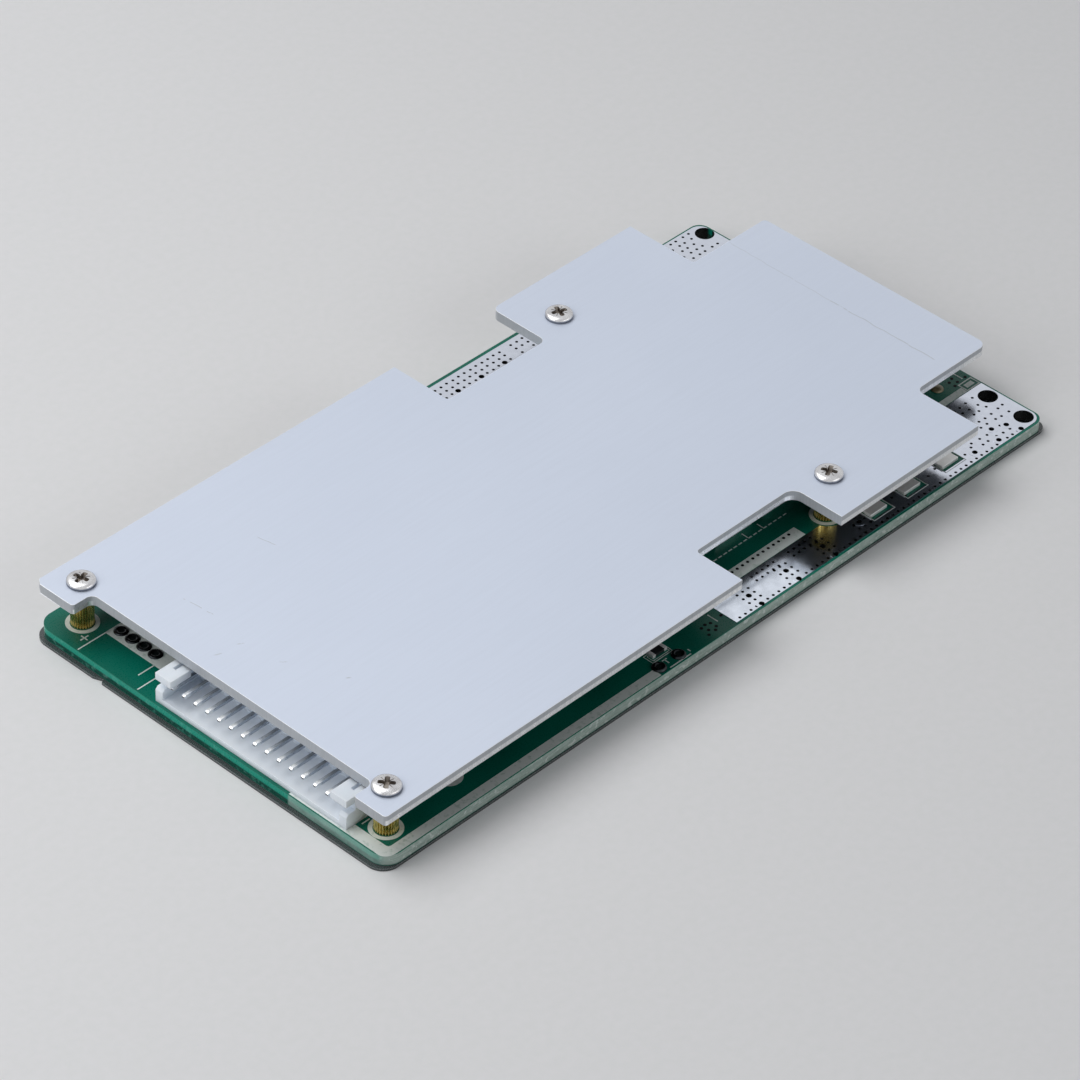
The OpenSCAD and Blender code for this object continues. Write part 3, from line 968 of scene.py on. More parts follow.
@dataclass(frozen=True)
class PaperFinish(Finish):
    """Pale, matte paper for the studio floor."""

    name: str = "floor_paper"
    light: Colour = (0.80, 0.80, 0.81)
    dark: Colour = (0.78, 0.785, 0.79)

    def paint(self, sheet: Sheet) -> None:
        """Paints the faintly mottled paper."""
        share = sheet.vary(sheet.noise(1.5, 2), 0.0, 1.0)
        sheet.shade(Base_Color=sheet.blend(share, self.light, self.dark), Roughness=0.85)


FINISHES: dict[str, Finish] = {
    "plate": PlateFinish(),
    "mask": MaskFinish(),
    "tin": TinFinish(),
    "ink": InkFinish(),
    "film": FilmFinish(),
    "pin": PinFinish(),
    "brass": metal("standoff_brass", (0.72, 0.58, 0.22), (0.50, 0.41, 0.15)),
    # Painted shade for the knurling's grooves.
    "groove": metal("standoff_groove_shade", (0.30, 0.20, 0.05), (0.20, 0.13, 0.03)),
    "nickel": metal("screw_nickel", (0.60, 0.60, 0.61), (0.42, 0.41, 0.42), (0.2, 0.32), relief=0.008),
    # Painted shade for the lower part of the screw heads' rims.
    "rim": metal("screw_rim_shade", (0.20, 0.21, 0.24), (0.12, 0.13, 0.15)),
    # Brownish painted shade for the screws' recesses, and a painted contact shadow at the heads' foot.
    "recess": metal("screw_recess_shade", (0.34, 0.31, 0.28), (0.15, 0.13, 0.12), (0.3, 0.5)),
    "shunt": metal("shunt_metal", (0.96, 0.96, 0.94), (0.86, 0.86, 0.84), (0.3, 0.42), metallic=0.3),
    "cap": metal("chip_end", (0.90, 0.90, 0.90), (0.78, 0.78, 0.78), (0.45, 0.6), metallic=0.4),
    "can": metal("can_steel", (0.66, 0.66, 0.66), (0.55, 0.55, 0.56), (0.25, 0.4)),
    # Ring pads: solder painted near-black as a reflection of the dark plate above.
    "ring": metal("ring_solder_painted_reflection", (0.035, 0.04, 0.042), (0.015, 0.017, 0.02), (0.2, 0.34)),
    "dome": metal("dome_solder", (0.26, 0.22, 0.12), (0.14, 0.12, 0.07), (0.34, 0.46), metallic=0.15),
    "tip": metal("pin_end_face_dark", (0.24, 0.25, 0.26), (0.16, 0.17, 0.18), (0.35, 0.5)),
    "lead": metal("lead_tin", (0.74, 0.75, 0.76), (0.60, 0.61, 0.62), (0.22, 0.36)),
    "nylon": MixedFinish(
        "header_nylon",
        (0.82, 0.885, 0.975),
        (0.78, 0.85, 0.95),
        (0.34, 0.46),
        grain=(0.2, 2),
        relief=0.003,
        glow=0.5,
    ),
    "epoxy": MixedFinish("chip_epoxy", (0.030, 0.030, 0.032), (0.018, 0.018, 0.020)),
    "resistor": MixedFinish(
        "resistor_glaze", (0.022, 0.023, 0.026), (0.012, 0.012, 0.014), (0.25, 0.4)
    ),
    "ceramic": MixedFinish("capacitor_ceramic", (0.50, 0.37, 0.24), (0.40, 0.29, 0.18)),
    "silicone": MixedFinish(
        "gap_pad_silicone", (0.36, 0.41, 0.47), (0.30, 0.35, 0.41), (0.6, 0.75), (0.35, 2), 0.03
    ),
    # Near-black painted shade for open via holes and the ring pads' middles.
    "via": MixedFinish("via_hole_shade", (0.004, 0.008, 0.008), (0.002, 0.004, 0.004), (0.6, 0.8), shine=0.1),
}


# ---------------------------------------------------------------------------------------
# Sub-assemblies
# ---------------------------------------------------------------------------------------


@dataclass
class SubAssembly:
    """What every sub-assembly is built with: the board's plan and the finishes."""

    plan: Plan
    finishes: dict[str, Material]

    def dress(self, piece: Piece, finish: str, slot: str, *stands_for: str) -> Piece:
        """Gives a new piece its finish and fixes it to the part.

        Args:
            piece: The piece.
            finish: Short name of its main finish.
            slot: The record's material slot that it belongs to; not used.
            *stands_for: The CAD nodes that it stands for.

        Returns:
            The same piece.
        """
        piece.data.materials.clear()
        piece.data.materials.append(self.finishes[finish])
        for face in piece.data.polygons:
            face.material_index = 0
        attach(piece, "root")
        if stands_for:
            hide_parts(*stands_for)
        LOG.info("%s: %d faces", piece.name, len(piece.data.polygons))
        return piece

    def trim(self, piece: Piece, finish: str, test: Callable[[Vector, Vector], bool]) -> None:
        """Gives part of a piece a second finish.

        Args:
            piece: The piece.
            finish: Short name of the second finish.
            test: Takes a face's centre in millimetres and its normal, and tells if it is meant.
        """
        piece.data.materials.append(self.finishes[finish])
        for face in piece.data.polygons:
            if test(face.center / MM, face.normal):
                face.material_index = len(piece.data.materials) - 1

    def refine(
        self,
        node: str,
        name: str,
        finish: str,
        slot: str,
        edge: float,
        steps: int = 2,
        smooth: float = 35,
    ) -> Piece:
        """Builds a fine piece from a CAD node, with rounded edges.

        Args:
            node: Name of the CAD node.
            name: Name of the piece.
            finish: Short name of its finish.
            slot: The record's material slot that it belongs to.
            edge: Width of the rounding.
            steps: Number of facets across it.
            smooth: Faces that meet at less than this many degrees are shaded as one.

        Returns:
            The piece.
        """
        piece = relieve(self.plan.copy_node(node, name), edge, steps)
        return self.dress(soften(piece, smooth), finish, slot, node)

    def repeat(
        self,
        first: Piece,
        name: str,
        spots: Sequence[Plane],
        height: float = 0.0,
        turns: Sequence[float] = (),
    ) -> Piece:
        """Copies a piece that was built at the origin to several spots, as one piece.

        Args:
            first: The piece, which is cleared away.
            name: Name of the result.
            spots: Where the copies stand.
            height: Their height above the board.
            turns: Their turns about the z axis, in degrees, or nothing for none.

        Returns:
            The joined copies.
        """
        made = []
        for i, spot in enumerate(spots):
            take(first)
            bpy.ops.object.duplicate()
            turn = turns[i] if turns else 0.0
            made.append(put(bpy.context.object, f"{name}_{i}", self.plan.at(*spot, height), turn))
        bpy.data.objects.remove(first, do_unlink=True)
        return merge(made, name)

    def beside(self, place: Vector, spots: Sequence[Plane]) -> float:
        """Gives how far a place lies, in plan, from the nearest of some spots."""
        return min(math.dist(place[:2], self.plan.at(*spot)[:2]) for spot in spots)


@dataclass
class PrintedMarks(SubAssembly):
    """White print on the board: border strip, rings, frames, signs and guide lines."""

    ink_t: float = 0.03
    line_w: float = 0.22
    border_start: Plane = (0.14, 0.12)
    border_inner: Plane = (2.3, 1.8)
    border_end: Plane = (58.3, 20.0)
    border_outer_r: float = 2.8
    border_inner_r: float = 0.5
    screw_ring: Plane = (2.65, 1.95)
    broad_ring: Plane = (2.2, 0.5)
    broad_ring_spot: Plane = (19.4, 6.5)
    strips: tuple[Stroke, ...] = (
        ((5.8, 53.0), (9.5, 65.1)),
        ((76.2, 7.15), (98.9, 9.6)),
        ((134.0, 13.1), (144.9, 14.4)),
    )
    lines: tuple[Stroke, ...] = (
        ((0.3, 65.1), (9.4, 65.1)),
        ((2.7, 54.5), (5.8, 54.5)),
        ((0.4, 52.2), (4.2, 52.2)),
        ((60.6, 0.35), (65.0, 0.35)),
        ((61.2, 2.2), (61.2, 1.3)),
        ((60.8, 2.2), (61.6, 2.2)),
        ((73.6, 2.7), (73.6, 4.6)),
        ((146.9, 15.9), (146.9, 17.8)),
        ((65.5, 0.9), (65.5, 1.3)),
    )
    frames: tuple[tuple[Plane, Plane, float], ...] = (
        ((59.3, 2.75), (63.75, 4.85), 0.14),
        ((59.75, 3.1), (63.4, 4.5), 0.1),
        ((145.0, 13.1), (148.2, 15.2), 0.22),
    )
    filled_frame: Stroke = ((145.7, 13.7), (147.5, 14.6))
    shunt_starts: tuple[float, ...] = (109.0, 117.0, 126.2)
    shunt_frame: Stroke = ((-0.05, 1.75), (4.9, 5.6))
    shunt_line_w: float = 0.1
    plus: tuple[Stroke, ...] = (((2.0, 66.4), (3.4, 66.4)), ((2.7, 65.8), (2.7, 67.0)))
    minus: Stroke = ((3.2, 8.0), (4.6, 8.0))
    dash_run: Plane = (83.8, 100.2)
    dash_step: float = 1.15
    dash_len: float = 0.75
    dash_side: Plane = (12.58, 12.8)
    ticks: tuple[float, ...] = (91.8, 95.3)
    tick_w: float = 0.18
    tick_side: Plane = (12.7, 14.1)

    def strip(self, low: Plane, high: Plane, name: str = "strip", base: float = 0.0) -> Any:
        """Prints a filled rectangle between two corners, on a surface at a height."""
        return block(name, self.plan.at(*low), self.plan.at(*high, base + self.ink_t))

    def line(self, start: Plane, end: Plane) -> Piece:
        """Prints a straight line along x or y.

        Args:
            start: One end.
            end: The other end.

        Returns:
            The piece.
        """
        half = self.line_w / 2
        low = (min(start[0], end[0]) - half, min(start[1], end[1]) - half)
        high = (max(start[0], end[0]) + half, max(start[1], end[1]) + half)
        return self.strip(low, high, "line")

    def ring(self, spot: Plane, radii: Plane) -> Piece:
        """Prints a ring of two radii, outer and inner, about a spot."""
        return put(washer(*radii, self.ink_t), "ring", self.plan.at(*spot))

    def frame(self, low: Plane, high: Plane, width: float, base: float = 0.0) -> list[Any]:
        """Prints an open rectangle.

        Args:
            low: Its lower corner.
            high: Its upper corner.
            width: Width of its line.
            base: Height of the surface that it is printed on.

        Returns:
            Its four sides.
        """
        (x0, y0), (x1, y1) = low, high
        sides = (
            ((x0, y0), (x1, y0 + width)),
            ((x0, y1 - width), (x1, y1)),
            ((x0, y0 + width), (x0 + width, y1 - width)),
            ((x1 - width, y0 + width), (x1, y1 - width)),
        )
        return [self.strip(start, end, "side", base) for start, end in sides]

    def round_corner(self, spot: Plane, radius: float, steps: int) -> None:
        """Rounds an upright edge of the strip that is in edit mode.

        Args:
            spot: Where the edge stands.
            radius: Radius of the rounding.
            steps: Number of facets across it.
        """
        corner = self.plan.at(*spot)[:2]
        pick(Element.EDGE, lambda e: climb(e) > 0.01 and math.dist(middle(e).xy, corner) < 0.05)
        bevel(radius, steps)

    def border(self) -> Piece:
        """Prints the border strip that turns the front right corner.

        Returns:
            The strip, its outer corner rounded like the board's.
        """
        x, y = self.border_inner
        piece = self.strip(self.border_start, self.border_inner, "border")
        open_mesh(piece)
        right = self.plan.at(x, 0)[0]
        pick(Element.FACE, lambda f: f.normal.x > 0.9)
        pull(self.border_end[0] - x, 0, 0)
        pick(Element.FACE, lambda f: f.normal.y > 0.9 and f.calc_center_median().x / MM < right)
        pull(0, self.border_end[1] - y, 0)
        self.round_corner(self.border_start, self.border_outer_r, 10)
        self.round_corner(self.border_inner, self.border_inner_r, 2)
        close_mesh()
        return piece

    def dashes(self) -> list[Piece]:
        """Prints the broken guide line beside the side cut-out.

        Returns:
            Its dashes and ticks.
        """
        made = []
        near, far = self.dash_side
        x, end = self.dash_run
        while x < end:
            made.append(self.strip((x, near), (x + self.dash_len, far), "dash"))
            x += self.dash_step
        near, far = self.tick_side
        made += [self.strip((x, near), (x + self.tick_w, far), "tick") for x in self.ticks]
        return made

    def build(self) -> None:
        """Builds all the print as one thin piece."""
        made = [self.border()]
        made += [self.strip(*strip) for strip in self.strips]
        made += [self.line(*line) for line in self.lines]
        made += [self.ring(spot, self.screw_ring) for spot in SCREW_SPOTS]
        made.append(self.ring(self.broad_ring_spot, self.broad_ring))
        for frame in self.frames:
            made += self.frame(*frame)
        made.append(self.strip(*self.filled_frame))
        for x in self.shunt_starts:
            low, high = ((x + along, across) for along, across in self.shunt_frame)
            made += self.frame(low, high, self.shunt_line_w, COPPER_T)
        made += [self.line(*line) for line in (*self.plus, self.minus)]
        made += self.dashes()
        self.dress(merge(made, "board_print"), "ink", "solder_mask")


@dataclass
class CircuitBoard(SubAssembly):
    """The board with its film, tinned pads, ring pads, near-black discs of painted shade over its vias,
    and solder dome.
    """

    via_r: float = 0.28
    via_h: float = 0.06
    dome_r: float = 1.1
    dome_h: float = 0.5
    dome_spot: Plane = (141.9, 16.9)
    ring_r: float = 1.2
    collar_r: float = 1.0
    collar_t: float = 0.02
    collar_sunk: float = 0.004
    copper_side: float = 0.34
    large_via_r: float = 0.46
    large_vias: tuple[Plane, ...] = (
        (81.45, 0.7), (90.0, 0.7), (98.55, 0.7), (107.1, 3.32), (133.5, 2.0),
        (140.0, 4.0), (142.6, 3.1), (138.7, 1.4), (143.5, 0.8),
    )
    via_row: tuple[Plane, ...] = tuple((77.9 + 1.19 * i, 8.9) for i in range(17))
    side_vias: tuple[Plane, ...] = (
        (72.5, 3.1), (75.0, 3.2), (70.3, 1.4), (71.1, 2.2),
        (71.9, 1.5), (70.6, 3.2), (71.6, 3.4), (72.6, 2.0),
    )
    end_vias: tuple[Plane, ...] = (
        (144.6, 16.6), (145.7, 17.0), (145.7, 15.8), (144.6, 15.4), (147.6, 15.8),
    )
    sense_rings: tuple[Plane, ...] = ((7.7, 63.7), (7.7, 61.2), (7.7, 58.7), (7.7, 56.2))
    probe_rings: tuple[Plane, ...] = ((59.3, 1.5), (63.6, 1.5))

    def paint(self) -> None:
        """Gives the carried CAD nodes their finishes."""
        self.plan.repaint("circuit_board", self.finishes["mask"])
        self.plan.repaint("insulating_film", self.finishes["film"])
        for node in ("battery_pad", "output_pad", "rear_pad"):
            self.plan.repaint(node, self.finishes["tin"])

    def domed_ring(self, height: float) -> Piece:
        """Builds one domed ring of solder, with its hole; its finish is painted near-black as a
        reflection of the dark plate above.

        Args:
            height: How high the solder stands.

        Returns:
            The ring, at the origin.
        """
        shape = ((1, 0), (0.98, 0.45), (0.86, 0.8), (0.68, 1))
        piece = turned("ring", [(self.ring_r * r, height * h) for r, h in shape], 40)
        open_mesh(piece)
        pick_round_top()
        inset(0.12, -0.02)
        inset(0.14, -0.10)
        pull(0, 0, -0.15)
        close_mesh()
        return soften(piece, 50)

    def rings(self, name: str, node: str, spots: Sequence[Plane], height: float) -> None:
        """Builds a row of ring pads, their middles painted near-black as shade in the holes.

        Args:
            name: Name of the piece.
            node: The CAD node that it stands for.
            spots: Where the rings lie.
            height: How high their solder stands.
        """
        piece = self.repeat(self.domed_ring(height), name, spots)
        self.dress(piece, "ring", "dull_solder", node)
        # Painted shade: the rings' middles get the near-black finish.
        self.trim(piece, "via", lambda c, n: self.beside(c, spots) < self.ring_r / 2)

    def vias(self) -> None:
        """Builds near-black thin discs with a sunk middle over the vias outside the tin, as painted
        shade in their open holes.
        """
        first = turned("via", [(self.via_r, 0), (self.via_r * 0.92, self.via_h)], 16)
        open_mesh(first)
        pick_round_top()
        inset(0.04, -0.015)
        close_mesh()
        spots = (*self.via_row, *self.side_vias, *self.end_vias)
        piece = self.repeat(first, "via_shade_discs", spots)
        self.dress(piece, "via", "solder_mask")

    def collars(self) -> None:
        """Builds the flat solder round the larger vias, trimmed at the copper's edge."""
        first = washer(self.collar_r, self.large_via_r, self.collar_t)
        height = COPPER_T - self.collar_sunk
        piece = self.repeat(first, "via_collars", self.large_vias, height)
        low, high = self.plan.at(0, -2, -1), self.plan.at(self.plan.length, self.copper_side, 1)
        cut_away(piece, block("waste", low, high))
        self.dress(piece, "tin", "tinned_copper")

    def dome(self) -> None:
        """Builds the solder dome near the terminal end."""
        angles = (0, 0.3, 0.6, 0.9, 1.2, 1.45)
        profile = [(self.dome_r * math.cos(a), self.dome_h * math.sin(a)) for a in angles]
        piece = put(turned("dome", profile, 40), "solder_dome", self.plan.at(*self.dome_spot))
        self.dress(soften(piece, 60), "dome", "tinned_copper")

    def build(self) -> None:
        """Builds and paints the board."""
        self.paint()
        self.rings("sense_rings", "sense_ring_pads", self.sense_rings, 0.34)
        self.rings("probe_rings", "probe_ring_pads", self.probe_rings, 0.42)
        self.vias()
        self.collars()
        self.dome()


@dataclass
class HeatPlate(SubAssembly):
    """The aluminium plate, with relieved edges and a burred, nipped tip."""

    edge: float = 0.12
    burr: float = 0.12
    burr_reach: float = 2.4
    face_skin: float = 0.02
    nip_start: Plane = (1.05, 74.3)
    nip_end: Plane = (-0.05, 72.8)
    nip_size: Point = (1.5, 1.5, 12)

    def nip(self) -> Piece:
        """Builds the waste that is nipped off the front left tip.

        Returns:
            The waste.
        """
        start, end = Vector(self.nip_start), Vector(self.nip_end)
        run = start - end
        waste = block("waste", (-self.nip_size[0], 0, 0), self.nip_size)
        turn = math.degrees(math.atan2(run.y, run.x))
        return put(waste, "waste", self.plan.at(*(start + end) / 2), turn)

    def build(self) -> None:
        """Builds the plate from its packed form."""
        piece = self.plan.copy_node("heat_plate", "heat_plate_sheet")
        cut_away(piece, self.nip())
        relieve(piece, self.edge)
        low, high = (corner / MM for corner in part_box("heat_plate"))
        tip = Vector((low.x, high.y))
        floor, top = low.z + self.face_skin, high.z - self.face_skin

        def burred(vert: bmesh.types.BMVert) -> bool:
            """Tells whether a vertex lies on the tip's edge."""
            place = vert.co / MM
            return (place.xy - tip).length < self.burr_reach and floor < place.z < top

        open_mesh(piece)
        pick(Element.VERTEX, burred)
        bpy.ops.transform.vertex_random(offset=self.burr * MM, seed=4)
        close_mesh()
        take(piece)
        bpy.ops.object.shade_flat()
        self.dress(piece, "plate", "plate_aluminium", "heat_plate")


@dataclass
class Fasteners(SubAssembly):
    """Pan head screws with cross recesses and knurled standoffs."""

    turns: tuple[float, ...] = (12.0, 38.0, 70.0, 25.0)
    gap: float = 6.0
    plate_t: float = 1.8
    head_r: float = 2.3
    head_h: float = 1.0
    crown: tuple[Plane, ...] = (
        (1, 0.40), (0.985, 0.54), (0.94, 0.68), (0.87, 0.79),
        (0.77, 0.87), (0.55, 0.94), (0.30, 0.985), (0.05, 1),
    )
    shank_r: float = 1.2
    shank_len: float = 5.0
    bar_half: Plane = (1.5, 0.42)
    bar_depth: float = 1.15
    bar_top: float = 0.3
    bar_taper: Plane = (0.65, 0.75)
    bar_round: float = 0.22
    blade_half: Plane = (1.35, 0.07)
    blade_depth: float = 0.28
    blade_top: float = 0.1
    recess_reach: float = 1.45
    recess_floor: float = 0.35
    rim_h: float = 0.45
    rim_reach: float = 1.8
    contact_shadow_h: float = 0.04
    post_r: float = 1.85
    post_edge: float = 0.16
    neck_r: float = 1.5
    neck_len: float = 2.0
    bore_r: float = 1.25
    teeth: int = 26
    tooth: float = 0.17
    tooth_sides: int = 4

    def bar(self, name: str, half: Plane, depth: float, above: float) -> Piece:
        """Builds a bar of half a length and width that reaches down from above the head."""
        (x, y), top = half, self.head_h + above
        return block(name, (-x, -y, top - depth), (x, y, top))

    def recess_tool(self, turn: float) -> Piece:
        """Builds one bar of the driver's cross, narrower towards its tip.

        Args:
            turn: Its turn about the z axis, in degrees.

        Returns:
            The bar.
        """
        bar = self.bar("bar", self.bar_half, self.bar_depth, self.bar_top)
        open_mesh(bar)
        pick(Element.FACE, lambda f: f.normal.z < -0.9)
        narrow(*self.bar_taper)
        pick(Element.EDGE, lambda e: climb(e) > 0.5)
        bevel(self.bar_round, 2)
        close_mesh()
        return put(bar, "bar", (0, 0, 0), turn)

    def nick_tool(self, turn: float) -> Piece:
        """Builds the thin blade that leaves two fine nicks between the recess's arms."""
        blade = self.bar("blade", self.blade_half, self.blade_depth, self.blade_top)
        return put(blade, "blade", (0, 0, 0), turn)

    def screw(self) -> Piece:
        """Builds one screw, its head's seat at the origin.

        Returns:
            The screw.
        """
        profile = [
            (self.shank_r * 0.8, -self.shank_len),
            (self.shank_r, -self.shank_len + 0.3),
            (self.shank_r, 0.0),
            (self.head_r * 0.97, 0.0),
            (self.head_r, 0.06),
        ]
        profile += [(self.head_r * r, self.head_h * h) for r, h in self.crown]
        piece = turned("screw", profile, 56)
        cut_away(piece, self.recess_tool(0), self.recess_tool(90))
        cut_away(piece, self.nick_tool(45), self.nick_tool(135))
        return soften(piece, 32)

    def screws(self) -> None:
        """Builds the four screws, with painted shade in their driver recesses, at the heads' foot and
        on the lower part of their rims.
        """
        height = self.gap + self.plate_t
        piece = self.repeat(self.screw(), "pan_head_screws", SCREW_SPOTS, height, self.turns)
        self.dress(piece, "nickel", "screw_steel", "plate_screws")
        seat = self.plan.at(0, 0, height)[2]
        floor = self.plan.at(0, 0, height + self.head_h - self.recess_floor)[2]
        wall = self.plan.at(0, 0, height + self.head_h * self.rim_h)[2]

        def in_shaded_recess(centre: Vector, normal: Vector) -> bool:
            """Tells whether a face lies in a driver recess, or at the head's foot, where shade is
            painted.
            """
            steep = normal.z < 0.6 or centre.z < floor
            inside = self.beside(centre, SCREW_SPOTS) < self.recess_reach
            return centre.z < seat + self.contact_shadow_h or (inside and steep)

        def on_shaded_rim(centre: Vector, normal: Vector) -> bool:
            """Tells whether a face lies on the lower part of a head's rim, where shade is painted."""
            beyond = self.beside(centre, SCREW_SPOTS) > self.rim_reach
            return normal.z < 0.3 and centre.z < wall and beyond

        self.trim(piece, "recess", in_shaded_recess)
        self.trim(piece, "rim", on_shaded_rim)

    def standoff(self) -> Piece:
        """Builds one straight-knurled standoff, the board's top face at height 0.

        Returns:
            The standoff.
        """
        sides = self.teeth * self.tooth_sides
        face_r = self.post_r - self.post_edge
        profile = [
            (self.neck_r, -self.neck_len),
            (self.neck_r, -0.0001),
            (face_r, 0.0),
            (self.post_r, self.post_edge),
            (self.post_r, self.gap - self.post_edge),
            (face_r, self.gap),
        ]
        piece = turned("standoff", profile, sides)
        open_mesh(piece)

        def valley(vert: bmesh.types.BMVert) -> bool:
            """Tells whether a vertex lies at the foot of a tooth."""
            turn = round((math.atan2(vert.co.y, vert.co.x) / math.tau + 1) * sides)
            between = 0.05 * MM < vert.co.z < (self.gap - 0.05) * MM
            return turn % self.tooth_sides < self.tooth_sides / 2 and between

        pick(Element.VERTEX, valley)
        share = 1 - self.tooth / self.post_r
        narrow(share, share)
        pick(Element.FACE, lambda f: abs(f.calc_center_median().z / MM + self.neck_len) < 0.01)
        inset(self.neck_r - self.bore_r)
        pick(Element.FACE, lambda f: abs(f.calc_center_median().z / MM - self.gap) < 0.01)
        inset(face_r - self.bore_r)
        pick(Element.FACE, lambda f: abs(f.normal.z) > 0.9 and len(f.verts) == sides)
        bpy.ops.mesh.bridge_edge_loops()
        face_out()
        close_mesh()
        return soften(piece, 18)

    def standoffs(self) -> None:
        """Builds the four standoffs, with painted shade in the grooves of their knurling."""
        turns = [7.0 * i for i in range(len(SCREW_SPOTS))]
        piece = self.repeat(self.standoff(), "knurled_standoffs", SCREW_SPOTS, turns=turns)
        self.dress(piece, "brass", "standoff_brass", "standoffs")
        foot = self.post_r - self.tooth * 0.7
        board = self.plan.at(0, 0, 0.05)[2]

        def in_shaded_groove(centre: Vector, normal: Vector) -> bool:
            """Tells whether a face lies in the knurling's grooves, where shade is painted."""
            upright = abs(normal.z) < 0.3 and centre.z > board
            return upright and self.beside(centre, SCREW_SPOTS) < foot

        self.trim(piece, "groove", in_shaded_groove)

    def build(self) -> None:
        """Builds the screws and the standoffs."""
        self.screws()
        self.standoffs()


@dataclass
class SenseHeader(SubAssembly):
    """The side-entry header: housing, pins and their solder joints."""

    ways: int = 15
    housing_edge: float = 0.14
    pin_edge: float = 0.07
    joint_edge: float = 0.06

    def build(self) -> None:
        """Builds the housing, the pins and the joints."""
        self.refine("header_housing", "header_shell", "nylon", "header_nylon", self.housing_edge, 3, 40)
        for i in range(1, self.ways + 1):
            pin = self.refine(f"header_pin_{i}", f"pin_{i}", "pin", "pin_metal", self.pin_edge)
            # The pins' end faces get a darker finish.
            self.trim(pin, "tip", lambda c, n: n.x < -0.75)
        joints = self.plan.copy_node("header_joints", "solder_cones")
        relieve(joints, self.joint_edge, sharp=30)
        self.dress(soften(joints, 50), "tin", "tinned_copper", "header_joints")


@dataclass
class PowerStage(SubAssembly):
    """Two rows of power switches under their gap pads, and three metal shunts."""

    switches: int = 6
    shunts: int = 3
    body_w: float = 8.8
    tab: float = 1.3
    body_edge: float = 0.12
    pad_edge: float = 0.25
    shunt_edge: float = 0.28

    def switch(self, row: Row, number: int) -> None:
        """Finishes one switch.

        Args:
            row: The row it stands in.
            number: Its number in the row.
        """
        node = f"{row.value}_switch_{number}"
        low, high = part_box(node)
        if row is Row.CHARGE:
            near = low.y / MM + self.tab
        else:
            near = high.y / MM - self.tab - self.body_w
        far = near + self.body_w
        name = f"{row.value}_device_{number}"
        piece = self.refine(node, name, "epoxy", "chip_body", self.body_edge)
        self.trim(piece, "lead", lambda c, n: not near - 0.02 < c.y < far + 0.02)

    def build(self) -> None:
        """Builds the switches, the gap pads and the shunts."""
        for row in Row:
            for number in range(1, self.switches + 1):
                self.switch(row, number)
            node, name = f"{row.value}_gap_pad", f"{row.value}_soft_pad"
            self.refine(node, name, "silicone", "gap_pad_rubber", self.pad_edge, 3)
        for i in range(1, self.shunts + 1):
            node, name = f"shunt_resistor_{i}", f"shunt_{i}"
            self.refine(node, name, "shunt", "shunt_metal", self.shunt_edge, 5)


@dataclass
class SmallParts(SubAssembly):
    """Chips, resistors, capacitors and the clock's can."""

    cap_share: float = 0.18
    chip_edge: float = 0.05
    chip_end_edge: float = 0.04
    can_edge: float = 0.3

    def leaded(self, node: str, name: str, axis: int, body: float) -> None:
        """Finishes a chip with leads on two sides.

        Args:
            node: Name of the CAD node.
            name: Name of the piece.
            axis: The way its leads point: 0 for x, 1 for y.
            body: Width of its moulded body across the leads.
        """
        low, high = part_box(node)
        piece = self.refine(node, name, "epoxy", "chip_body", self.chip_edge)
        centre = (low[axis] + high[axis]) / 2 / MM
        self.trim(piece, "lead", lambda c, n: abs(c[axis] - centre) > body / 2 + 0.01)

    def two_ended(
        self, node: str, name: str, spans: Sequence[Plane], finishes: tuple[str, str], slot: str
    ) -> None:
        """Finishes chip resistors or capacitors, which have tinned ends.

        Args:
            node: Name of the CAD node.
            name: Name of the piece.
            spans: Low and high plan x of each column of chips.
            finishes: Short names of the finishes of the body and its ends.
            slot: The record's slot of the body.
        """
        body, ends = finishes
        piece = self.refine(node, name, body, slot, self.chip_end_edge)

        def at_end(centre: Vector, normal: Vector) -> bool:
            """Tells whether a face lies on a tinned end."""
            for low, high in spans:
                start, end = self.plan.at(low, 0)[0], self.plan.at(high, 0)[0]
                if start - 0.1 < centre.x < end + 0.1:
                    cap = (end - start) * self.cap_share
                    return centre.x < start + cap + 0.01 or centre.x > end - cap - 0.01
            return False

        self.trim(piece, ends, at_end)

    def build(self) -> None:
        """Builds all the small parts."""
        self.leaded("monitor_chip", "monitor", 0, 6.1)
        self.leaded("controller_chip", "controller", 1, 4.4)
        self.leaded("regulator", "supply_chip", 1, 3.5)
        self.leaded("driver_chips", "drivers", 0, 3.9)
        glazed, moulded = ("resistor", "lead"), ("ceramic", "lead")
        columns = [(15.5, 18.7), (19.7, 22.9)]
        self.two_ended("balance_resistors", "bleed_resistors", columns, glazed, "resistor_body")
        columns = [(24.0, 26.0)]
        self.two_ended("filter_capacitors", "cell_capacitors", columns, moulded, "capacitor_ceramic")
        columns = [(60.1, 63.2)]
        self.two_ended("link_resistor", "link_chip", columns, ("resistor", "cap"), "resistor_body")
        self.refine("crystal", "clock_can", "can", "can_steel", self.can_edge, 3)


# ---------------------------------------------------------------------------------------
# Studio
# ---------------------------------------------------------------------------------------


@dataclass(frozen=True)
class Lamp:
    """One soft rectangular lamp."""

    name: str
    place: Point
    aim: Point
    size: Plane
    power: float

    def matrix(self) -> Matrix:
        """Gives the place and turn of the lamp, looking at its aim.

        Returns:
            Its matrix.
        """
        spot = Vector(self.place) * MM
        turn = (Vector(self.aim) * MM - spot).to_track_quat("-Z", "Y")
        return Matrix.Translation(spot) @ turn.to_matrix().to_4x4()


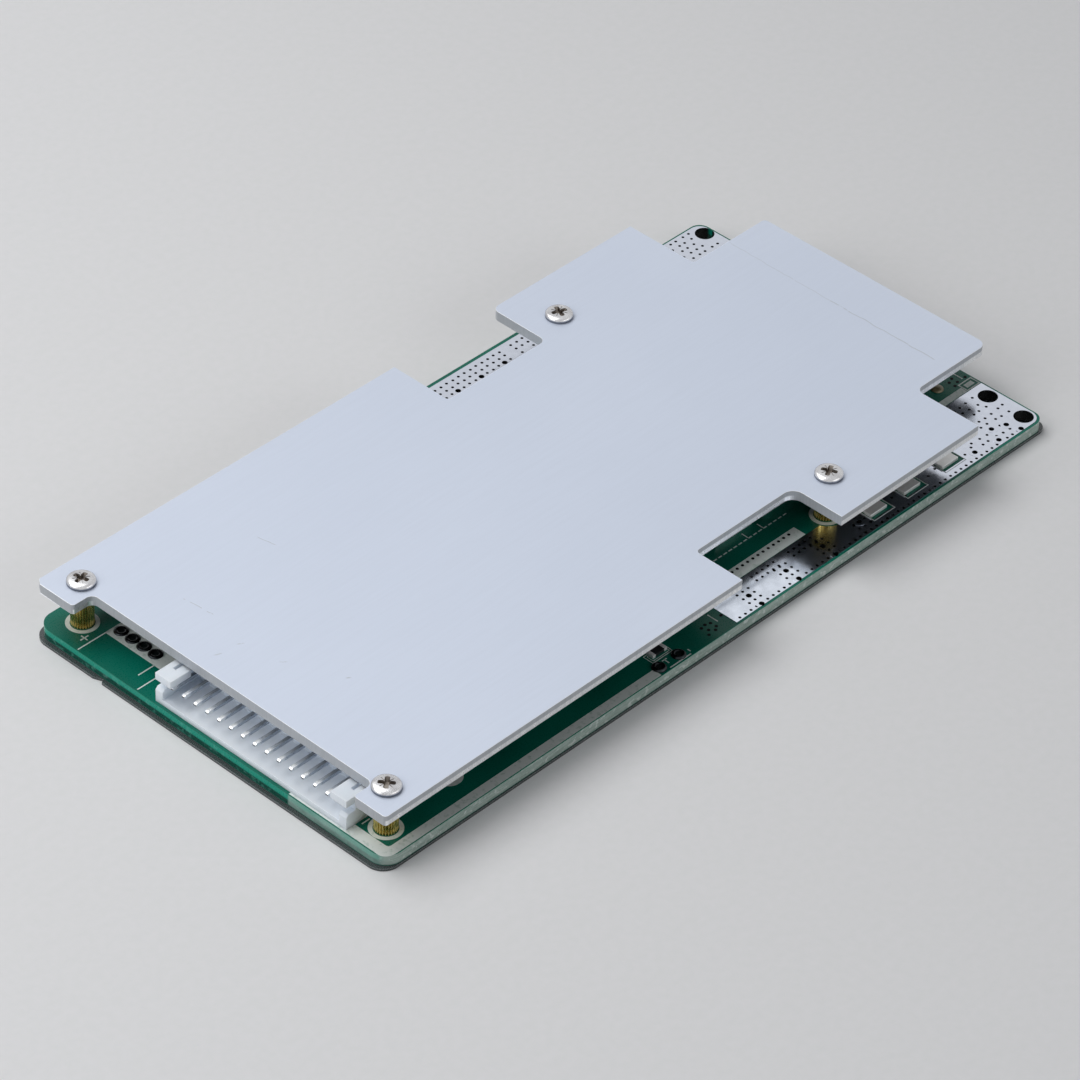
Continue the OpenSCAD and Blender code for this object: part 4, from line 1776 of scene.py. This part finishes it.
@dataclass
class Studio:
    """Pale floor, soft lamps, pale surroundings and the camera."""

    plan: Plan
    lens: float = 173.13
    heading: float = 47.85
    drop: float = 38.99
    roll: float = 2.27
    eye: Point = (-391.79, -381.79, 502.56)
    seen: Colour = (0.93, 0.94, 0.95)
    felt: Colour = (0.93, 0.95, 1.0)
    felt_strength: float = 0.15
    floor_side_m: float = 6
    lamps: tuple[Lamp, ...] = (
        Lamp("key_lamp", (-120, 330, 620), (0, 0, 0), (520, 520), 2.82),
        Lamp("left_lamp", (-520, 160, 330), (-40, 0, 0), (420, 360), 1.1),
        Lamp("fill_lamp", (120, -560, 300), (0, 0, 0), (520, 260), 0.65),
    )

    def light(self) -> None:
        """Sets up the lamps."""
        for lamp in self.lamps:
            data = bpy.data.lights.new(lamp.name, "AREA")
            data.shape = "RECTANGLE"
            data.size, data.size_y = (side * MM for side in lamp.size)
            data.energy = lamp.power
            item = bpy.data.objects.new(lamp.name, data)
            bpy.context.scene.collection.objects.link(item)
            item.matrix_world = lamp.matrix()

    def surroundings(self) -> None:
        """Sets up pale surroundings that are brighter to the eye than to the part."""
        world = bpy.data.worlds.new("pale_room")
        bpy.context.scene.world = world
        world.use_nodes = True
        tree = Tree(world.node_tree)
        path = tree.add("ShaderNodeLightPath")
        share = path.outputs["Is Camera Ray"]
        for ray in ("Is Glossy Ray", "Is Transmission Ray"):
            share = tree.math("MAXIMUM", share, path.outputs[ray])
        felt = tree.add("ShaderNodeBackground", {"Color": self.felt, "Strength": self.felt_strength})
        seen = tree.add("ShaderNodeBackground", {"Color": self.seen, "Strength": 1.0})
        room = tree.add("ShaderNodeMixShader", {0: share, 1: felt.outputs[0], 2: seen.outputs[0]})
        tree.add("ShaderNodeOutputWorld", {"Surface": room.outputs[0]})

    def floor(self) -> None:
        """Lays the pale floor under the part."""
        rest_hands()
        bpy.ops.mesh.primitive_plane_add(size=self.floor_side_m, location=(0, 0, 0))
        ground = begin("floor")
        ground.data.materials.append(PaperFinish().make(self.plan))

    def camera(self) -> None:
        """Places the camera."""
        head, fall, tilt = (math.radians(a) for a in (self.heading, self.drop, self.roll))
        look = Vector(
            (math.sin(head) * math.cos(fall), math.cos(head) * math.cos(fall), -math.sin(fall))
        )
        right = look.cross(Vector((0, 0, 1))).normalized()
        up = right.cross(look)
        side = math.cos(tilt) * right + math.sin(tilt) * up
        top = -math.sin(tilt) * right + math.cos(tilt) * up
        data = bpy.data.cameras.new("studio_camera")
        data.lens = self.lens
        data.sensor_width = 36
        data.clip_start, data.clip_end = 0.01, 20
        item = bpy.data.objects.new("studio_camera", data)
        bpy.context.scene.collection.objects.link(item)
        eye = self.plan.at(*self.eye)
        rows = [(side[i], top[i], -look[i], eye[i] * MM) for i in range(3)]
        item.matrix_world = Matrix((*rows, (0, 0, 0, 1)))
        bpy.context.scene.camera = item

    def build(self) -> None:
        """Builds the whole studio."""
        self.floor()
        self.light()
        self.surroundings()
        self.camera()
        bpy.context.scene.view_settings.view_transform = "Standard"


def main() -> None:
    """Builds the part's fine pieces round the frame, and the studio."""
    logging.basicConfig(level=logging.INFO, format="%(name)s: %(message)s")
    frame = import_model()
    plan = Plan(frame["nodes"])
    finishes = {key: finish.make(plan) for key, finish in FINISHES.items()}
    for kind in (
        CircuitBoard,
        PrintedMarks,
        HeatPlate,
        Fasteners,
        SenseHeader,
        PowerStage,
        SmallParts,
    ):
        kind(plan, finishes).build()
        LOG.info("%s done", kind.__name__)
    Studio(plan).build()
    rest_hands()


if __name__ == "__main__":
    main()
